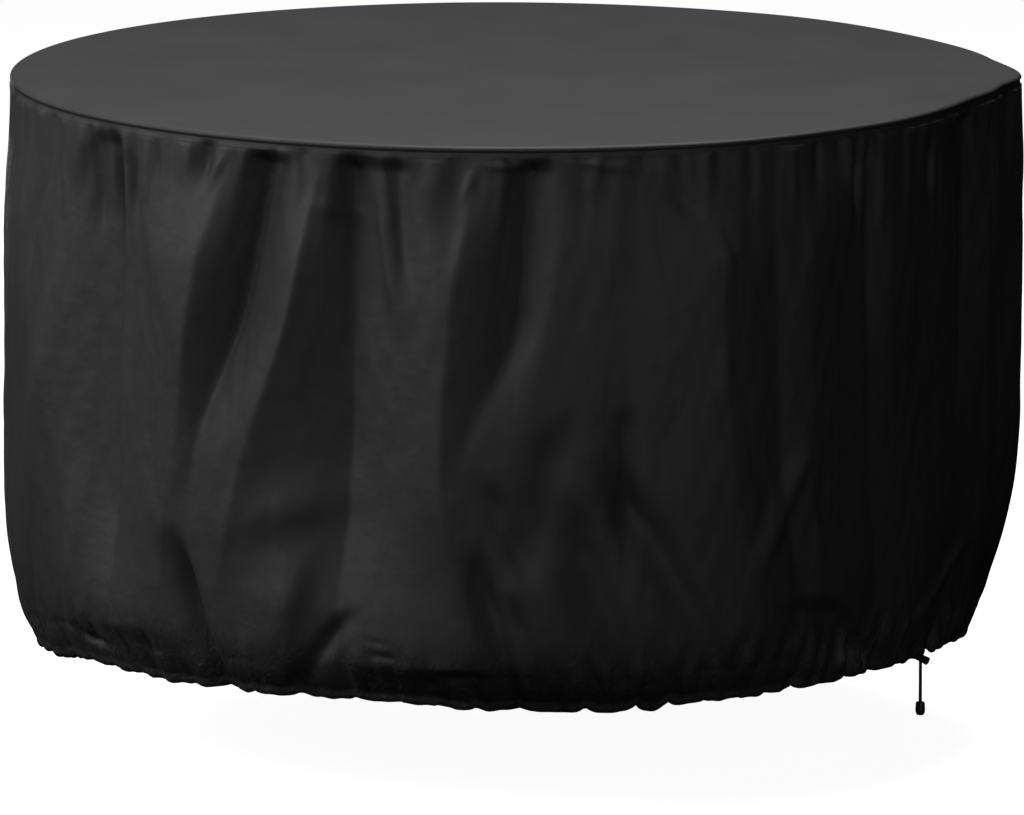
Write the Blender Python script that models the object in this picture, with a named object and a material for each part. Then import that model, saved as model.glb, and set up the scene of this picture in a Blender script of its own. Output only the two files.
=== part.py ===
"""Round patio furniture cover: a flat top panel, a long skirt that hangs in
slanted folds and is drawn in at its hem, and the drawstring's free end with its
cord lock and bell-shaped cord end.

Metres, +Z up. The origin is the middle of the top panel's underside, where the
furniture carries the cover. Angles are in degrees round the cover: 0 is the
front (-Y), 90 the right (+X), 180 the back.
"""
import math

import bmesh
import bpy
import numpy as np
from mathutils import Matrix, Vector

# ---- driving dimensions ---------------------------------------------------
RIM_R = 0.640            # radius of the flat top at its rim seam
COVER_H = 0.710          # mean drop from the top to the hem's lower edge
CLOTH = 0.002            # thickness of the coated cloth
GAP = 0.0003             # clearance kept between pieces

TOP_SEGMENTS = 120       # straight steps round the top panel
SEAM_DROP = 0.0055       # the rim seam lies this far below the top's underside
# The top's edge rolls down to the seam: how far in from the rim, and height of the outer face.
TOP_EDGE = ((0.007, CLOTH), (0.0024, 0.0007), (0.0, -0.0020), (0.0, -SEAM_DROP))
SEAM_BAND = 0.008        # upright strip of skirt under the rim seam

FLARE = 0.0038           # the skirt hangs this much outside the rim, on average
FLARE_LEFT = 0.0038      # more on the left, less on the right
FLARE_DROP = 0.25        # drop over which it swings out

DRAW_START = 0.455       # drop at which the hem starts to draw the skirt in
DRAW_START_LEFT = 0.045  # lower on the left, higher on the right
DRAW_BEND = 2.5          # exponent of the drawn-in curve: higher is fuller above and sharper below
DRAW_BEND_LEFT = 0.2     # sharper on the left
DRAW_BEND_FRONT = 4.0    # in front the cloth hangs straighter and turns in late
HEM_R = 0.590            # mean radius of the drawn-in hem
HEM_SHIFT = 0.020        # the hem ring sits this far to the left of the top

ROLL_H = 0.012           # height of the turned-under hem casing's bulge
CREASE_H = 0.085         # how far the gathers' creases run up from the hem
PUFF_SHARE = 0.4         # share of a gather's depth that the cloth beside it stands out
DRAWN_LIMIT = 1.05       # where the hem hangs low it is drawn in a little further
CREST_RAMP = 0.160       # drop below the rim seam over which the crests rise
VALLEY_RAMP = 0.034      # the valleys open sooner
RAMP_BLEND = 0.020       # height between a valley and a crest over which one ramp turns into the other
HEM_FOLD_LOSS = 0.55     # share of a fold's height that the drawstring takes out
CREASE_OVERRUN = 0.25    # a crease reaches this share of its length past both ends
CREASE_FADE = 0.45       # and fades over this share of it

LEVELS = (0.03, 0.21, 0.41, 0.585)   # drops at which the fold table is given

# Main folds, left to right. Angles in degrees and heights in mm, each at the
# four levels: crest angle, angle of the valley to its right, how far the crest
# stands out, how far the valley stands out (negative is in). Roundness of the
# crest: 0 gives straight flanks that meet sharply, 1 fully rounded ones.
FOLDS = (
    # name, crest at, valley at (degrees), crest out, valley out (mm), roundness
    ("left edge", (-75, -71, -61.5, -58), (-49, -48.8, -49.5, -52), (9, 13, 14, 9), (-4, -13, -9, -1), 0.5),
    ("left Y", (-34.5, -37.6, -40.4, -43.5), (-29.6, -33.1, -38, -40), (22, 26, 17, 10), (-36, -35, 8, 12), 0.5),
    ("slanted", (-22.6, -25.4, -31.3, -35), (-18.9, -19, -19.4, -20.5), (16, 19, 17, 13), (-30, -34, -36, -16), 0.15),
    ("middle Y", (-4.4, -7.2, -8.2, -4.8), (1.5, 0.5, -6, -2.6), (22, 24, 20, 17), (-22, -20, 16, 14), 0.15),
    ("centre", (6.1, 3.7, -0.4, 2), (14, 13, 12, 12), (2, 4, 14, 9), (4, 4, 2, -2), 0.3),
    ("broad", (22.9, 23.2, 24.9, 29), (30.6, 30.8, 31.6, 35), (18, 20, 17, 12), (5, 4, 1, -3), 0.15),
    ("right wide", (35.7, 35.7, 36, 38), (45.7, 45.8, 46.7, 48), (11, 11, 8, 6), (-8, -8, -9, -16), 0.3),
    ("thin ridge", (49.3, 49.4, 52, 54), (70.4, 70.4, 68, 68), (1, 1, -5, -6), (-12, -12, -9, -8), 0.4),
    ("right stripe", (75.1, 75.3, 75.5, 75.5), (82, 82, 82, 82), (10, 10, 5, 0), (-6, -6, -4, -2), 0.4),
    ("right edge", (90, 90, 90, 90), (99, 99, 99, 99), (4, 4, 2, 1), (-8, -8, -6, -4), 0.5),
    ("back 1", (107, 108, 107, 106), (117, 118, 116, 115), (14, 18, 12, 6), (-22, -26, -16, -8), 0.4),
    ("back 2", (126, 124, 127, 131), (139, 135, 138, 143), (14, 18, 14, 10), (-18, -22, -10, -4), 0.4),
    ("back 3", (151, 154, 150, 148), (163, 166, 168, 162), (16, 18, 14, 8), (-24, -28, -20, -10), 0.3),
    ("back 4", (176, 172, 177, 182), (191, 187, 186, 190), (14, 20, 16, 10), (-16, -18, -14, -8), 0.5),
    ("back 5", (204, 207, 203, 199), (216, 220, 221, 215), (14, 18, 16, 10), (-26, -30, -18, -8), 0.3),
    ("back 6", (231, 228, 232, 236), (243, 240, 242, 246), (16, 18, 12, 8), (-16, -18, -12, -6), 0.5),
    ("back 7", (255, 254, 256, 256), (266, 265, 267, 268), (8, 10, 8, 6), (-8, -8, -4, -2), 0.6),
)

# Short arms, slits and pinches laid over the main folds. Each runs along a
# slanted line; its cross-section is a bell, wider on one side than on the other.
CREASES = (
    # name          angle, drop at top   angle, drop at foot   width left, right (m)   out (mm)
    ("strip",       -51.6, 0.04,         -51.8, 0.50,          0.060, 0.009,           -22),
    ("left arm",    -46.0, 0.00,         -44.0, 0.19,          0.018, 0.016,           5),
    ("middle arm",  -16.0, 0.02,         -13.0, 0.20,          0.018, 0.016,           7),
    ("middle slit", -13.4, 0.00,         -12.4, 0.17,          0.016, 0.015,           -6),
    ("lower patch", -25.0, 0.54,         -29.0, 0.78,          0.050, 0.017,           20),
    ("pinch 1",     -39.4, 0.55,         -33.2, 0.80,          0.027, 0.012,           -50),
    ("pinch 2",     -19.8, 0.60,         -27.0, 0.70,          0.016, 0.014,           -20),
    ("J foot",      -2.6,  0.43,         1.2,   0.53,          0.020, 0.014,           -8),
    ("K shade",     4.8,   0.36,         1.6,   0.52,          0.034, 0.024,           -10),
    ("pinch 3",     -3.4,  0.54,         1.0,   0.74,          0.024, 0.015,           -28),
    ("streak 1",    0.0,   0.58,         4.3,   0.70,          0.022, 0.012,           -14),
    ("streak 2",    6.8,   0.47,         13.6,  0.69,          0.040, 0.020,           -19),
    ("upper streak", 12.7, 0.36,         13.4,  0.43,          0.028, 0.014,           -8),
    ("streak 3",    13.2,  0.44,         26.6,  0.70,          0.042, 0.018,           -19),
    ("curve ridge", 34.5,  0.41,         29.5,  0.53,          0.020, 0.012,           6),
    ("hollow",      39.0,  0.61,         48.0,  0.68,          0.055, 0.026,           -30),
    ("right cross", 56.0,  0.65,         70.0,  0.57,          0.022, 0.022,           7),
    ("back slit 1", 133.0, 0.00,         131.0, 0.18,          0.028, 0.026,           7),
    ("back slit 2", 170.0, 0.00,         168.0, 0.22,          0.026, 0.030,           9),
    ("back slit 3", 210.0, 0.00,         213.0, 0.16,          0.026, 0.028,           -8),
    ("back pinch 1", 122.0, 0.50,        118.0, 0.72,          0.030, 0.028,           -13),
    ("back pinch 2", 157.0, 0.46,        165.0, 0.72,          0.034, 0.030,           -10),
    ("back pinch 3", 194.0, 0.52,        191.0, 0.72,          0.028, 0.030,           -14),
    ("back pinch 4", 224.0, 0.48,        232.0, 0.72,          0.032, 0.030,           -10),
)

# Short wrinkles in any direction: middle, lean of the line from upright (in degrees),
# half length, width on either side, and how far it stands out, all in mm.
WRINKLES = (
    # name              angle, drop (m), lean,  half length, width left, right,       out
    ("cross band",      -25.5, 0.460,    110,   80,          30,         30,          8),
    ("front swell",     -10.5, 0.652,    90,    110,         14,         80,          15),
    ("left swell",      -50.0, 0.632,    92,    80,          18,         60,          9),
    ("hem bump",        44.5,  0.672,    -20,   20,          14,         12,          7),
)

# How far the rim stands outside (+) its circle, in mm. Pulled flatter on the right, it is
# slightly egg-shaped.
RIM_LINE = (
    # angle, outside the circle
    (-90, 0), (-20, 0), (20, -8), (45, -26), (70, -38), (81, -26), (91, -3), (104, -20), (122, -26),
    (150, -12), (190, 0),
)

# Level of the hem's lower edge round the cover, above (+) its mean, in mm.
HEM_LINE = (
    # angle, above mean
    (-90, -11), (-73, -4), (-60, 11), (-47, 6), (-30, 6), (-15, 4), (-2, -5), (12, -12),
    (17, -12), (22, -3), (40, 3), (56, 8), (73, 10), (92, -3), (130, -6), (180, 0), (225, 4),
)

# Gathers of the drawstring hem that show at the front: angle and depth in mm.
FRONT_GATHERS = (
    # angle, depth
    (-97, 6), (-90, 6), (-84, 5), (-78, 5), (-73.5, 4), (-69, 4), (-64.5, 4), (-59.5, 3), (-55, 4),
    (-50.5, 3), (-46, 3), (-41.5, 3), (-37, 4), (-32, 3), (-26.5, 6), (-19.5, 5), (-14, 3), (-9.2, 6),
    (-4.7, 6), (0.4, 5), (8.6, 11), (15.4, 11), (19.4, 9), (24, 4), (28.5, 4), (32.4, 4), (36.8, 6),
    (41.5, 4), (46.2, 6), (51, 4), (56.4, 5), (60.9, 4), (65.6, 7), (70.3, 4), (74.3, 5), (78.6, 5),
    (84, 6), (90, 5), (97, 6),
)
BACK_STEPS = (7.4, 8.6, 6.8, 8.0, 9.1, 7.1, 7.8, 8.3)   # spacing of the gathers behind, repeated
BACK_DEPTH = 5.0                                        # their mean depth in mm
BACK_DEPTH_SWING = 2.5
FRONT_COLUMNS = 3                                       # skirt columns from one gather to the next
BACK_COLUMNS = 2                                        # the same behind

# Rows of the skirt as shares of the way from the rim seam down to the hem roll.
# None is the row at the foot of the upright strip under the seam.
SKIRT_ROWS = (
    0.0, None, 0.05, 0.11, 0.18, 0.26, 0.34, 0.42, 0.50, 0.58, 0.66, 0.74, 0.82, 0.89, 0.95, 1.0,
)
# The turned-under hem roll: how far in, and how high above the lower edge.
HEM_ROLL = ((0.004, 0.003), (0.011, 0.0), (0.020, 0.004))

# ---- drawstring end -------------------------------------------------------
CORD_ANGLE = 65.6        # where the drawstring leaves the hem casing, in a gather
CORD_NOTCH = 0.008       # the hem stays lifted this far to each side of it
CORD_EXIT = 0.0012       # it starts this far below the lifted edge, which falls away on both sides
CORD_D = 0.0044
CORD_HANG = 0.072        # free length from the hem to the cord end's rim
LOCK_D = 0.0104
LOCK_L = 0.0225
LOCK_BORE = 0.0052       # cross hole that the cord runs through
LOCK_DROOP = 22.0        # degrees that the lock's outer end hangs down
LOCK_CORNER = 0.0014     # rounding of its two ends
END_D = 0.0126
END_L = 0.0172
END_SOCKET = 0.006       # depth of the cord's socket in the cord end
END_CORNER = 0.0030      # rounding of its foot
# Its side from the mouth down, in shares of the half width and of the length.
END_SIDE = ((0.72, 0.0), (0.93, 0.08), (0.96, 0.35), (1.0, 0.62), (0.91, 0.83))


# ---- small helpers --------------------------------------------------------
def ease(x):
    """Smooth step from 0 to 1."""
    x = np.clip(x, 0.0, 1.0)
    return x * x * (3.0 - 2.0 * x)


def at_level(values, drop):
    """A table entry at any drop: a smooth curve through its four levels that never overshoots."""
    levels = np.asarray(LEVELS)
    values = np.asarray(values, float)
    slope = np.diff(values) / np.diff(levels)
    tangent = np.empty(len(levels))
    tangent[0] = slope[0]
    tangent[-1] = slope[-1]
    for i in range(1, len(levels) - 1):
        before, after = slope[i - 1], slope[i]
        tangent[i] = 0.0 if before * after <= 0 else 2.0 * before * after / (before + after)
    i = np.clip(np.searchsorted(levels, drop) - 1, 0, len(levels) - 2)
    width = levels[i + 1] - levels[i]
    t = np.clip((drop - levels[i]) / width, 0.0, 1.0)
    rise = ease(t)
    return (values[i] * (1.0 - rise) + values[i + 1] * rise
            + width * t * (1.0 - t) * ((1.0 - t) * tangent[i] - t * tangent[i + 1]))


def round_table(rows, angle):
    """A table of (angle, value) rows read all the way round, eased from row to row."""
    at = np.array([row[0] for row in rows] + [rows[0][0] + 360.0], float)
    value = np.array([row[1] for row in rows] + [rows[0][1]], float)
    turned = (angle - at[0]) % 360.0 + at[0]
    i = np.clip(np.searchsorted(at, turned, side="right") - 1, 0, len(rows) - 1)
    t = (turned - at[i]) / (at[i + 1] - at[i])
    return value[i] + (value[i + 1] - value[i]) * ease(t)


def all_gathers():
    """Angles and depths (m) of every gather: the front ones, then evenly uneven ones behind."""
    rows = list(FRONT_GATHERS)
    last = FRONT_GATHERS[0][0] + 360.0
    count = 0
    while rows[-1][0] + 1.5 * BACK_STEPS[count % len(BACK_STEPS)] < last:
        step = BACK_STEPS[count % len(BACK_STEPS)]
        rows.append((rows[-1][0] + step, BACK_DEPTH + BACK_DEPTH_SWING * math.sin(2.4 * count)))
        count += 1
    return np.array(rows) * (1.0, 0.001)


GATHERS = all_gathers()


def scallop(angle):
    """At each angle, how full the hem is (0 in a gather, 1 between) and how deep its gathers are."""
    at = np.append(GATHERS[:, 0], GATHERS[0, 0] + 360.0)
    depth = np.append(GATHERS[:, 1], GATHERS[0, 1])
    turned = (angle - at[0]) % 360.0 + at[0]
    i = np.clip(np.searchsorted(at, turned, side="right") - 1, 0, len(GATHERS) - 1)
    t = (turned - at[i]) / (at[i + 1] - at[i])
    return np.sqrt(np.clip(4.0 * t * (1.0 - t), 0.0, 1.0)), depth[i] + (depth[i + 1] - depth[i]) * t


# ---- the skirt's shape ----------------------------------------------------
def rim_radius(angle):
    """Radius of the rim seam at an angle."""
    return RIM_R + round_table(RIM_LINE, angle) / 1000.0


def main_folds(angle, drop):
    """How far the cloth stands out: round crests, sharp valleys, and nearly straight flanks between."""
    places, heights = [], []
    for _, crest_at, valley_at, crest_out, valley_out, _ in FOLDS:
        places += [at_level(crest_at, drop), at_level(valley_at, drop)]
        heights += [at_level(crest_out, drop) / 1000.0, at_level(valley_out, drop) / 1000.0]
    places.append(places[0] + 360.0)
    heights.append(heights[0])
    roundness = [row[5] for row in FOLDS]
    roundness.append(roundness[0])
    turned = (angle - places[0]) % 360.0 + places[0]
    out = np.zeros_like(drop)
    for i in range(len(places) - 1):
        t = (turned - places[i]) / np.maximum(places[i + 1] - places[i], 1e-6)
        from_crest = i % 2 == 0
        bent = 1.0 - np.cos(0.5 * np.pi * t) if from_crest else np.sin(0.5 * np.pi * t)
        blend = t + (bent - t) * roundness[(i + 1) // 2]
        inside = (t >= 0.0) & (t < 1.0)
        out = np.where(inside, heights[i] + (heights[i + 1] - heights[i]) * blend, out)
    return out


def crease(row, angle, drop):
    """One arm, slit or pinch: a lopsided bell across a slanted line, fading at both ends."""
    _, angle_0, drop_0, angle_1, drop_1, left, right, height = row
    along = np.clip((drop - drop_0) / (drop_1 - drop_0), -1.0, 2.0)
    across = (angle - (angle_0 + (angle_1 - angle_0) * along) + 180.0) % 360.0 - 180.0
    across = np.radians(across) * RIM_R
    bell = np.exp(-(across / np.where(across < 0.0, left, right)) ** 2)
    top, foot = min(drop_0, drop_1), max(drop_0, drop_1)
    overrun = CREASE_OVERRUN * (foot - top)
    fade = CREASE_FADE * (foot - top)
    fade_in = ease((drop - top + overrun) / fade)
    fade_out = ease((foot - drop + overrun) / fade)
    return height / 1000.0 * bell * fade_in * fade_out


def wrinkle(row, angle, drop):
    """A lopsided bell across a short leaning line, which also fades along the line."""
    _, at, at_drop, lean, half_length, left, right, height = row
    sideways = np.radians((angle - at + 180.0) % 360.0 - 180.0) * RIM_R
    below = drop - at_drop
    tilt = math.radians(lean)
    along = (sideways * math.sin(tilt) + below * math.cos(tilt)) * 1000.0 / half_length
    across = (sideways * math.cos(tilt) - below * math.sin(tilt)) * 1000.0
    across /= np.where(across < 0.0, left, right)
    return height / 1000.0 * np.exp(-across ** 2 - along ** 2)


def skirt_point(angle, share):
    """The skirt's outer face at an angle and a share (0 rim seam, 1 hem roll) of its height."""
    turn = np.radians(angle)
    right = np.sin(turn)
    full, depth = scallop(angle)
    beside_cord = np.radians((angle - CORD_ANGLE + 180.0) % 360.0 - 180.0) * RIM_R
    full = full * (1.0 - np.exp(-(beside_cord / CORD_NOTCH) ** 2))
    lower_edge = -COVER_H + round_table(HEM_LINE, angle) / 1000.0 + depth * (1.0 - full)
    foot = lower_edge + ROLL_H
    z = -SEAM_DROP - GAP + (foot + SEAM_DROP + GAP) * share
    drop = -z

    hang = rim_radius(angle) + (FLARE - FLARE_LEFT * right) * ease(drop / FLARE_DROP)
    start = DRAW_START - DRAW_START_LEFT * right
    drawn = np.clip((drop - start) / (COVER_H - ROLL_H - start), 0.0, DRAWN_LIMIT)
    hem_radius = HEM_R - HEM_SHIFT * right
    bend = DRAW_BEND - DRAW_BEND_LEFT * right + DRAW_BEND_FRONT * np.maximum(np.cos(turn), 0.0) ** 1.5
    radius = hang - (hang - hem_radius) * drawn ** bend

    folds = main_folds(angle, drop)
    for row in CREASES:
        folds = folds + crease(row, angle, drop)
    for row in WRINKLES:
        folds = folds + wrinkle(row, angle, drop)
    ramp = VALLEY_RAMP + (CREST_RAMP - VALLEY_RAMP) * ease(0.5 + folds / RAMP_BLEND)
    folds *= ease((drop - SEAM_DROP - SEAM_BAND) / ramp)
    folds *= 1.0 - HEM_FOLD_LOSS * np.clip(drawn, 0.0, 1.0)
    puff = ease(1.0 - (z - foot) / CREASE_H) * (full - 1.0 + PUFF_SHARE) * depth
    radius = radius + folds + puff
    return radius, turn, z, lower_edge


def skirt_columns():
    """Column angles: every gather has a column of its own, with equal steps between them."""
    at = np.append(GATHERS[:, 0], GATHERS[0, 0] + 360.0)
    columns = []
    for i, (here, following) in enumerate(zip(at, at[1:])):
        steps = FRONT_COLUMNS if i < len(FRONT_GATHERS) else BACK_COLUMNS
        columns += [here + (following - here) * step / steps for step in range(steps)]
    return np.array(columns)


def skirt_sheet():
    """Outer face of the skirt: rows from the rim seam down and round under the hem roll."""
    angle = skirt_columns()
    seam_row = SEAM_BAND / (COVER_H - ROLL_H - SEAM_DROP)
    rows = []
    for share in SKIRT_ROWS:
        share = seam_row if share is None else share
        radius, turn, z, lower_edge = skirt_point(angle, np.full_like(angle, share))
        rows.append((radius, z))
    foot_radius = radius
    for inward, above in HEM_ROLL:
        rows.append((foot_radius - inward, lower_edge + above))
    return [np.stack([r * np.sin(turn), -r * np.cos(turn), z], axis=1) for r, z in rows]


# ---- building blocks ------------------------------------------------------
def clear_scene():
    for old in list(bpy.data.objects):
        bpy.data.objects.remove(old, do_unlink=True)


def material(name, color, roughness, metallic=0.0):
    mat = bpy.data.materials.new(name)
    mat.use_nodes = True
    shader = mat.node_tree.nodes["Principled BSDF"]
    shader.inputs["Base Color"].default_value = (*color, 1.0)
    shader.inputs["Roughness"].default_value = roughness
    shader.inputs["Metallic"].default_value = metallic
    return mat


def add_object(name, mesh, mat, sharp_degrees=40.0):
    mesh.shade_smooth()
    mesh.set_sharp_from_angle(angle=math.radians(sharp_degrees))
    mesh.materials.append(mat)
    obj = bpy.data.objects.new(name, mesh)
    bpy.context.scene.collection.objects.link(obj)
    return obj


def ring_sheet(name, rings, cap_first=False, follow_folds=False):
    """A mesh through closed rings of equal point counts, faces outward, first ring capped if asked.

    follow_folds splits each quad along the diagonal whose ends stand out most alike, so that
    the edges run along the slanted folds instead of across them.
    """
    count = len(rings[0])
    faces = [list(range(count))] if cap_first else []
    radii = [np.hypot(ring[:, 0], ring[:, 1]) for ring in rings]
    stand_out = [radius - radius.mean() for radius in radii]
    for row in range(len(rings) - 1):
        upper, lower = row * count, (row + 1) * count
        for i in range(count):
            j = (i + 1) % count
            right_down = abs(stand_out[row][i] - stand_out[row + 1][j])
            left_down = abs(stand_out[row][j] - stand_out[row + 1][i])
            if not follow_folds:
                faces.append([upper + i, lower + i, lower + j, upper + j])
            elif right_down < left_down:
                faces += [[upper + i, lower + i, lower + j], [upper + i, lower + j, upper + j]]
            else:
                faces += [[upper + i, lower + i, upper + j], [upper + j, lower + i, lower + j]]
    points = np.concatenate(rings).tolist()
    mesh = bpy.data.meshes.new(name)
    mesh.from_pydata(points, [], faces)
    mesh.validate()
    return mesh


def thicken(obj):
    """Give a cloth sheet its thickness on its inner side."""
    solidify = obj.modifiers.new("cloth thickness", "SOLIDIFY")
    solidify.thickness = CLOTH
    solidify.offset = -1.0
    solidify.use_even_offset = True
    solidify.use_quality_normals = True


def turned(name, profile, segments, axis_matrix):
    """A solid of revolution: profile points are (radius, height), turned about a local Z axis."""
    bm = bmesh.new()
    verts = [bm.verts.new((radius, 0.0, height)) for radius, height in profile]
    edges = [bm.edges.new(pair) for pair in zip(verts, verts[1:])]
    bmesh.ops.spin(bm, geom=verts + edges, cent=(0, 0, 0), axis=(0, 0, 1),
                   angle=2.0 * math.pi, steps=segments, use_merge=True)
    bmesh.ops.remove_doubles(bm, verts=bm.verts, dist=1e-6)
    bmesh.ops.recalc_face_normals(bm, faces=bm.faces)
    mesh = bpy.data.meshes.new(name)
    bm.to_mesh(mesh)
    bm.free()
    mesh.transform(axis_matrix)
    return mesh


def arc(cx, cz, radius, start, end, steps):
    """Points of a round corner in a (radius, height) profile, angles in degrees."""
    return [(cx + radius * math.cos(math.radians(start + (end - start) * i / steps)),
             cz + radius * math.sin(math.radians(start + (end - start) * i / steps)))
            for i in range(steps + 1)]


# ---- the pieces -----------------------------------------------------------
def top_panel(mat):
    """Flat round panel whose edge rolls down to the rim seam."""
    angle = np.arange(TOP_SEGMENTS) * 360.0 / TOP_SEGMENTS
    turn = np.radians(angle)
    rings = []
    for inset, z in TOP_EDGE:
        radius = rim_radius(angle) - inset
        level = np.full_like(turn, z)
        rings.append(np.stack([radius * np.sin(turn), -radius * np.cos(turn), level], axis=1))
    obj = add_object("top_panel", ring_sheet("top_panel", rings, cap_first=True), mat, 60.0)
    thicken(obj)
    return obj


def skirt_panel(mat):
    """One long strip of cloth with its folds and its drawn-in, turned-under hem."""
    obj = add_object("skirt_panel", ring_sheet("skirt_panel", skirt_sheet(), follow_folds=True), mat, 60.0)
    thicken(obj)
    return obj


def cord_exit():
    """Where the drawstring leaves the hem casing: the lifted lower edge in a gather."""
    angle = np.array([CORD_ANGLE])
    radius, turn, _, lower_edge = skirt_point(angle, np.ones(1))
    radius = radius[0] - HEM_ROLL[1][0]
    return Vector((radius * math.sin(turn[0]), -radius * math.cos(turn[0]), lower_edge[0] - CORD_EXIT))


def cord_lock(exit_point, mat):
    """Barrel lock under the hem: its axis points outward and droops, its cross hole is upright."""
    half = LOCK_L / 2.0
    rim = LOCK_D / 2.0
    in_r = rim - LOCK_CORNER
    in_h = half - LOCK_CORNER
    profile = ([(0.0, half)] + arc(in_r, in_h, LOCK_CORNER, 90.0, 0.0, 3)
               + arc(in_r, -in_h, LOCK_CORNER, 0.0, -90.0, 3) + [(0.0, -half)])
    droop = math.radians(LOCK_DROOP)
    outward = Matrix.Rotation(math.radians(CORD_ANGLE - 90.0), 4, "Z")
    tilt = Matrix.Rotation(math.pi / 2.0 + droop, 4, "Y")
    hem_clearance = CLOTH + GAP
    drop = rim / math.cos(droop) + math.tan(droop) * HEM_ROLL[1][0] / 2.0 + hem_clearance
    centre = exit_point - Vector((0.0, 0.0, drop))
    mesh = turned("cord_lock", profile, 20, Matrix.Translation(centre) @ outward @ tilt)
    lock = add_object("cord_lock", mesh, mat)
    drill = bpy.data.meshes.new("cord_bore")
    bm = bmesh.new()
    bmesh.ops.create_cone(bm, cap_ends=True, segments=16, radius1=LOCK_BORE / 2.0,
                          radius2=LOCK_BORE / 2.0, depth=3.0 * LOCK_D)
    bm.to_mesh(drill)
    bm.free()
    drill.transform(Matrix.Translation(centre))
    cutter = bpy.data.objects.new("cord_bore", drill)
    cutter.hide_render = True
    cutter.display_type = "WIRE"
    bpy.context.scene.collection.objects.link(cutter)
    cut = lock.modifiers.new("cross hole", "BOOLEAN")
    cut.operation = "DIFFERENCE"
    cut.solver = "EXACT"
    cut.object = cutter
    return lock


def cord_end(exit_point, mat):
    """Bell-shaped cord end with a socket for the cord: widest at two thirds, then a rounded foot."""
    socket = CORD_D / 2.0 + GAP
    side = [(wide * END_D / 2.0, -down * END_L) for wide, down in END_SIDE]
    foot = side[-1][0] - END_CORNER
    profile = ([(0.0, -END_SOCKET - GAP), (socket, -END_SOCKET - GAP), (socket, 0.0)] + side[:-1]
               + arc(foot, END_CORNER - END_L, END_CORNER, 0.0, -90.0, 4) + [(0.0, -END_L)])
    place = Matrix.Translation(exit_point - Vector((0.0, 0.0, CORD_HANG - END_SOCKET)))
    return add_object("cord_end", turned("cord_end", profile, 20, place), mat)


def drawstring_tail(exit_point, mat):
    """Free end of the drawstring: from the hem through the lock and down into the cord end."""
    curve = bpy.data.curves.new("drawstring_tail", "CURVE")
    curve.dimensions = "3D"
    curve.bevel_depth = CORD_D / 2.0
    curve.bevel_resolution = 3
    curve.use_fill_caps = True
    steps = 7
    spline = curve.splines.new("POLY")
    spline.points.add(steps)
    for i in range(steps + 1):
        down = GAP + (CORD_HANG - GAP) * i / steps
        spline.points[i].co = (*(exit_point - Vector((0.0, 0.0, down))), 1.0)
    curve.materials.append(mat)
    obj = bpy.data.objects.new("drawstring_tail", curve)
    bpy.context.scene.collection.objects.link(obj)
    return obj


def main():
    clear_scene()
    cloth = material("coated cloth", (0.022, 0.022, 0.023), 0.55)
    plastic = material("moulded plastic", (0.012, 0.012, 0.012), 0.45)
    cord = material("braided cord", (0.012, 0.012, 0.012), 0.75)
    top_panel(cloth)
    skirt_panel(cloth)
    exit_point = cord_exit()
    cord_lock(exit_point, plastic)
    drawstring_tail(exit_point, cord)
    cord_end(exit_point, plastic)


main()
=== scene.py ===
# %% [markdown]
# # A round patio furniture cover
# The real thing is cut from black coated polyester: a round top, and one long
# strip sewn to it at the rim. The strip hangs in slanted folds, and a cord in its
# turned-under hem draws it in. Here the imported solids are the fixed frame, and
# each cell makes one piece around them: the cloth as fine surfaces, then the
# sewing, the cord and its fittings, and last the light and the camera.

# %% Load the frame
import math

import bpy
import numpy as np
from mathutils import Matrix, Vector


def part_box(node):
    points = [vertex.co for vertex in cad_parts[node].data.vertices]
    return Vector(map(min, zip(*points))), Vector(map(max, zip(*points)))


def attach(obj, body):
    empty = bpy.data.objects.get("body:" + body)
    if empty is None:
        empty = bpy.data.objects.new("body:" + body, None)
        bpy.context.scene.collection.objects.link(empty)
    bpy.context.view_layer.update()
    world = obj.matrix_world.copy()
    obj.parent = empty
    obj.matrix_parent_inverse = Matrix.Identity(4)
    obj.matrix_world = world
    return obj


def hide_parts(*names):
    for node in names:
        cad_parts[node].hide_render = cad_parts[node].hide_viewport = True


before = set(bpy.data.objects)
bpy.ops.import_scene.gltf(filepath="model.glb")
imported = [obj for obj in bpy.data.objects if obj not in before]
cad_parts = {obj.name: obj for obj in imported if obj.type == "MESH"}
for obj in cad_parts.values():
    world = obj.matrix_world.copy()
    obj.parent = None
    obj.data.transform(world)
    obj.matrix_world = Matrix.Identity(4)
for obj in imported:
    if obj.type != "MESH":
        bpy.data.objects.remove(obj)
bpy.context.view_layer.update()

# %% [markdown]
# ## Sizes
# The cover is described the way a sewer measures it: round the rim by an angle,
# and down from the top by a drop. Angle 0 is the front, 90 the right. The rim's
# radius comes from the frame, so that the cloth lies on its solid. All other
# values stand in the cell that first needs them.

# %% Driving sizes
RIM_R = -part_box("top_panel")[0].x     # radius of the rim's circle, which its left edge touches
TOP_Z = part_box("top_panel")[1].z      # upper face of the flat top
SEAM_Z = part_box("skirt_panel")[1].z   # the skirt starts here, just under the top's edge
COVER_H = 0.710                       # mean drop to the hem's lower edge
ROLL_H = 0.012                        # height of the roll at the hem's foot
LEVELS = (0.03, 0.21, 0.41, 0.585)    # the four drops at which the tables tell a fold
print(f"rim radius {RIM_R:.4f} m, seam {SEAM_Z * 1000:.1f} mm, top {TOP_Z * 1000:.1f} mm")
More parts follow.
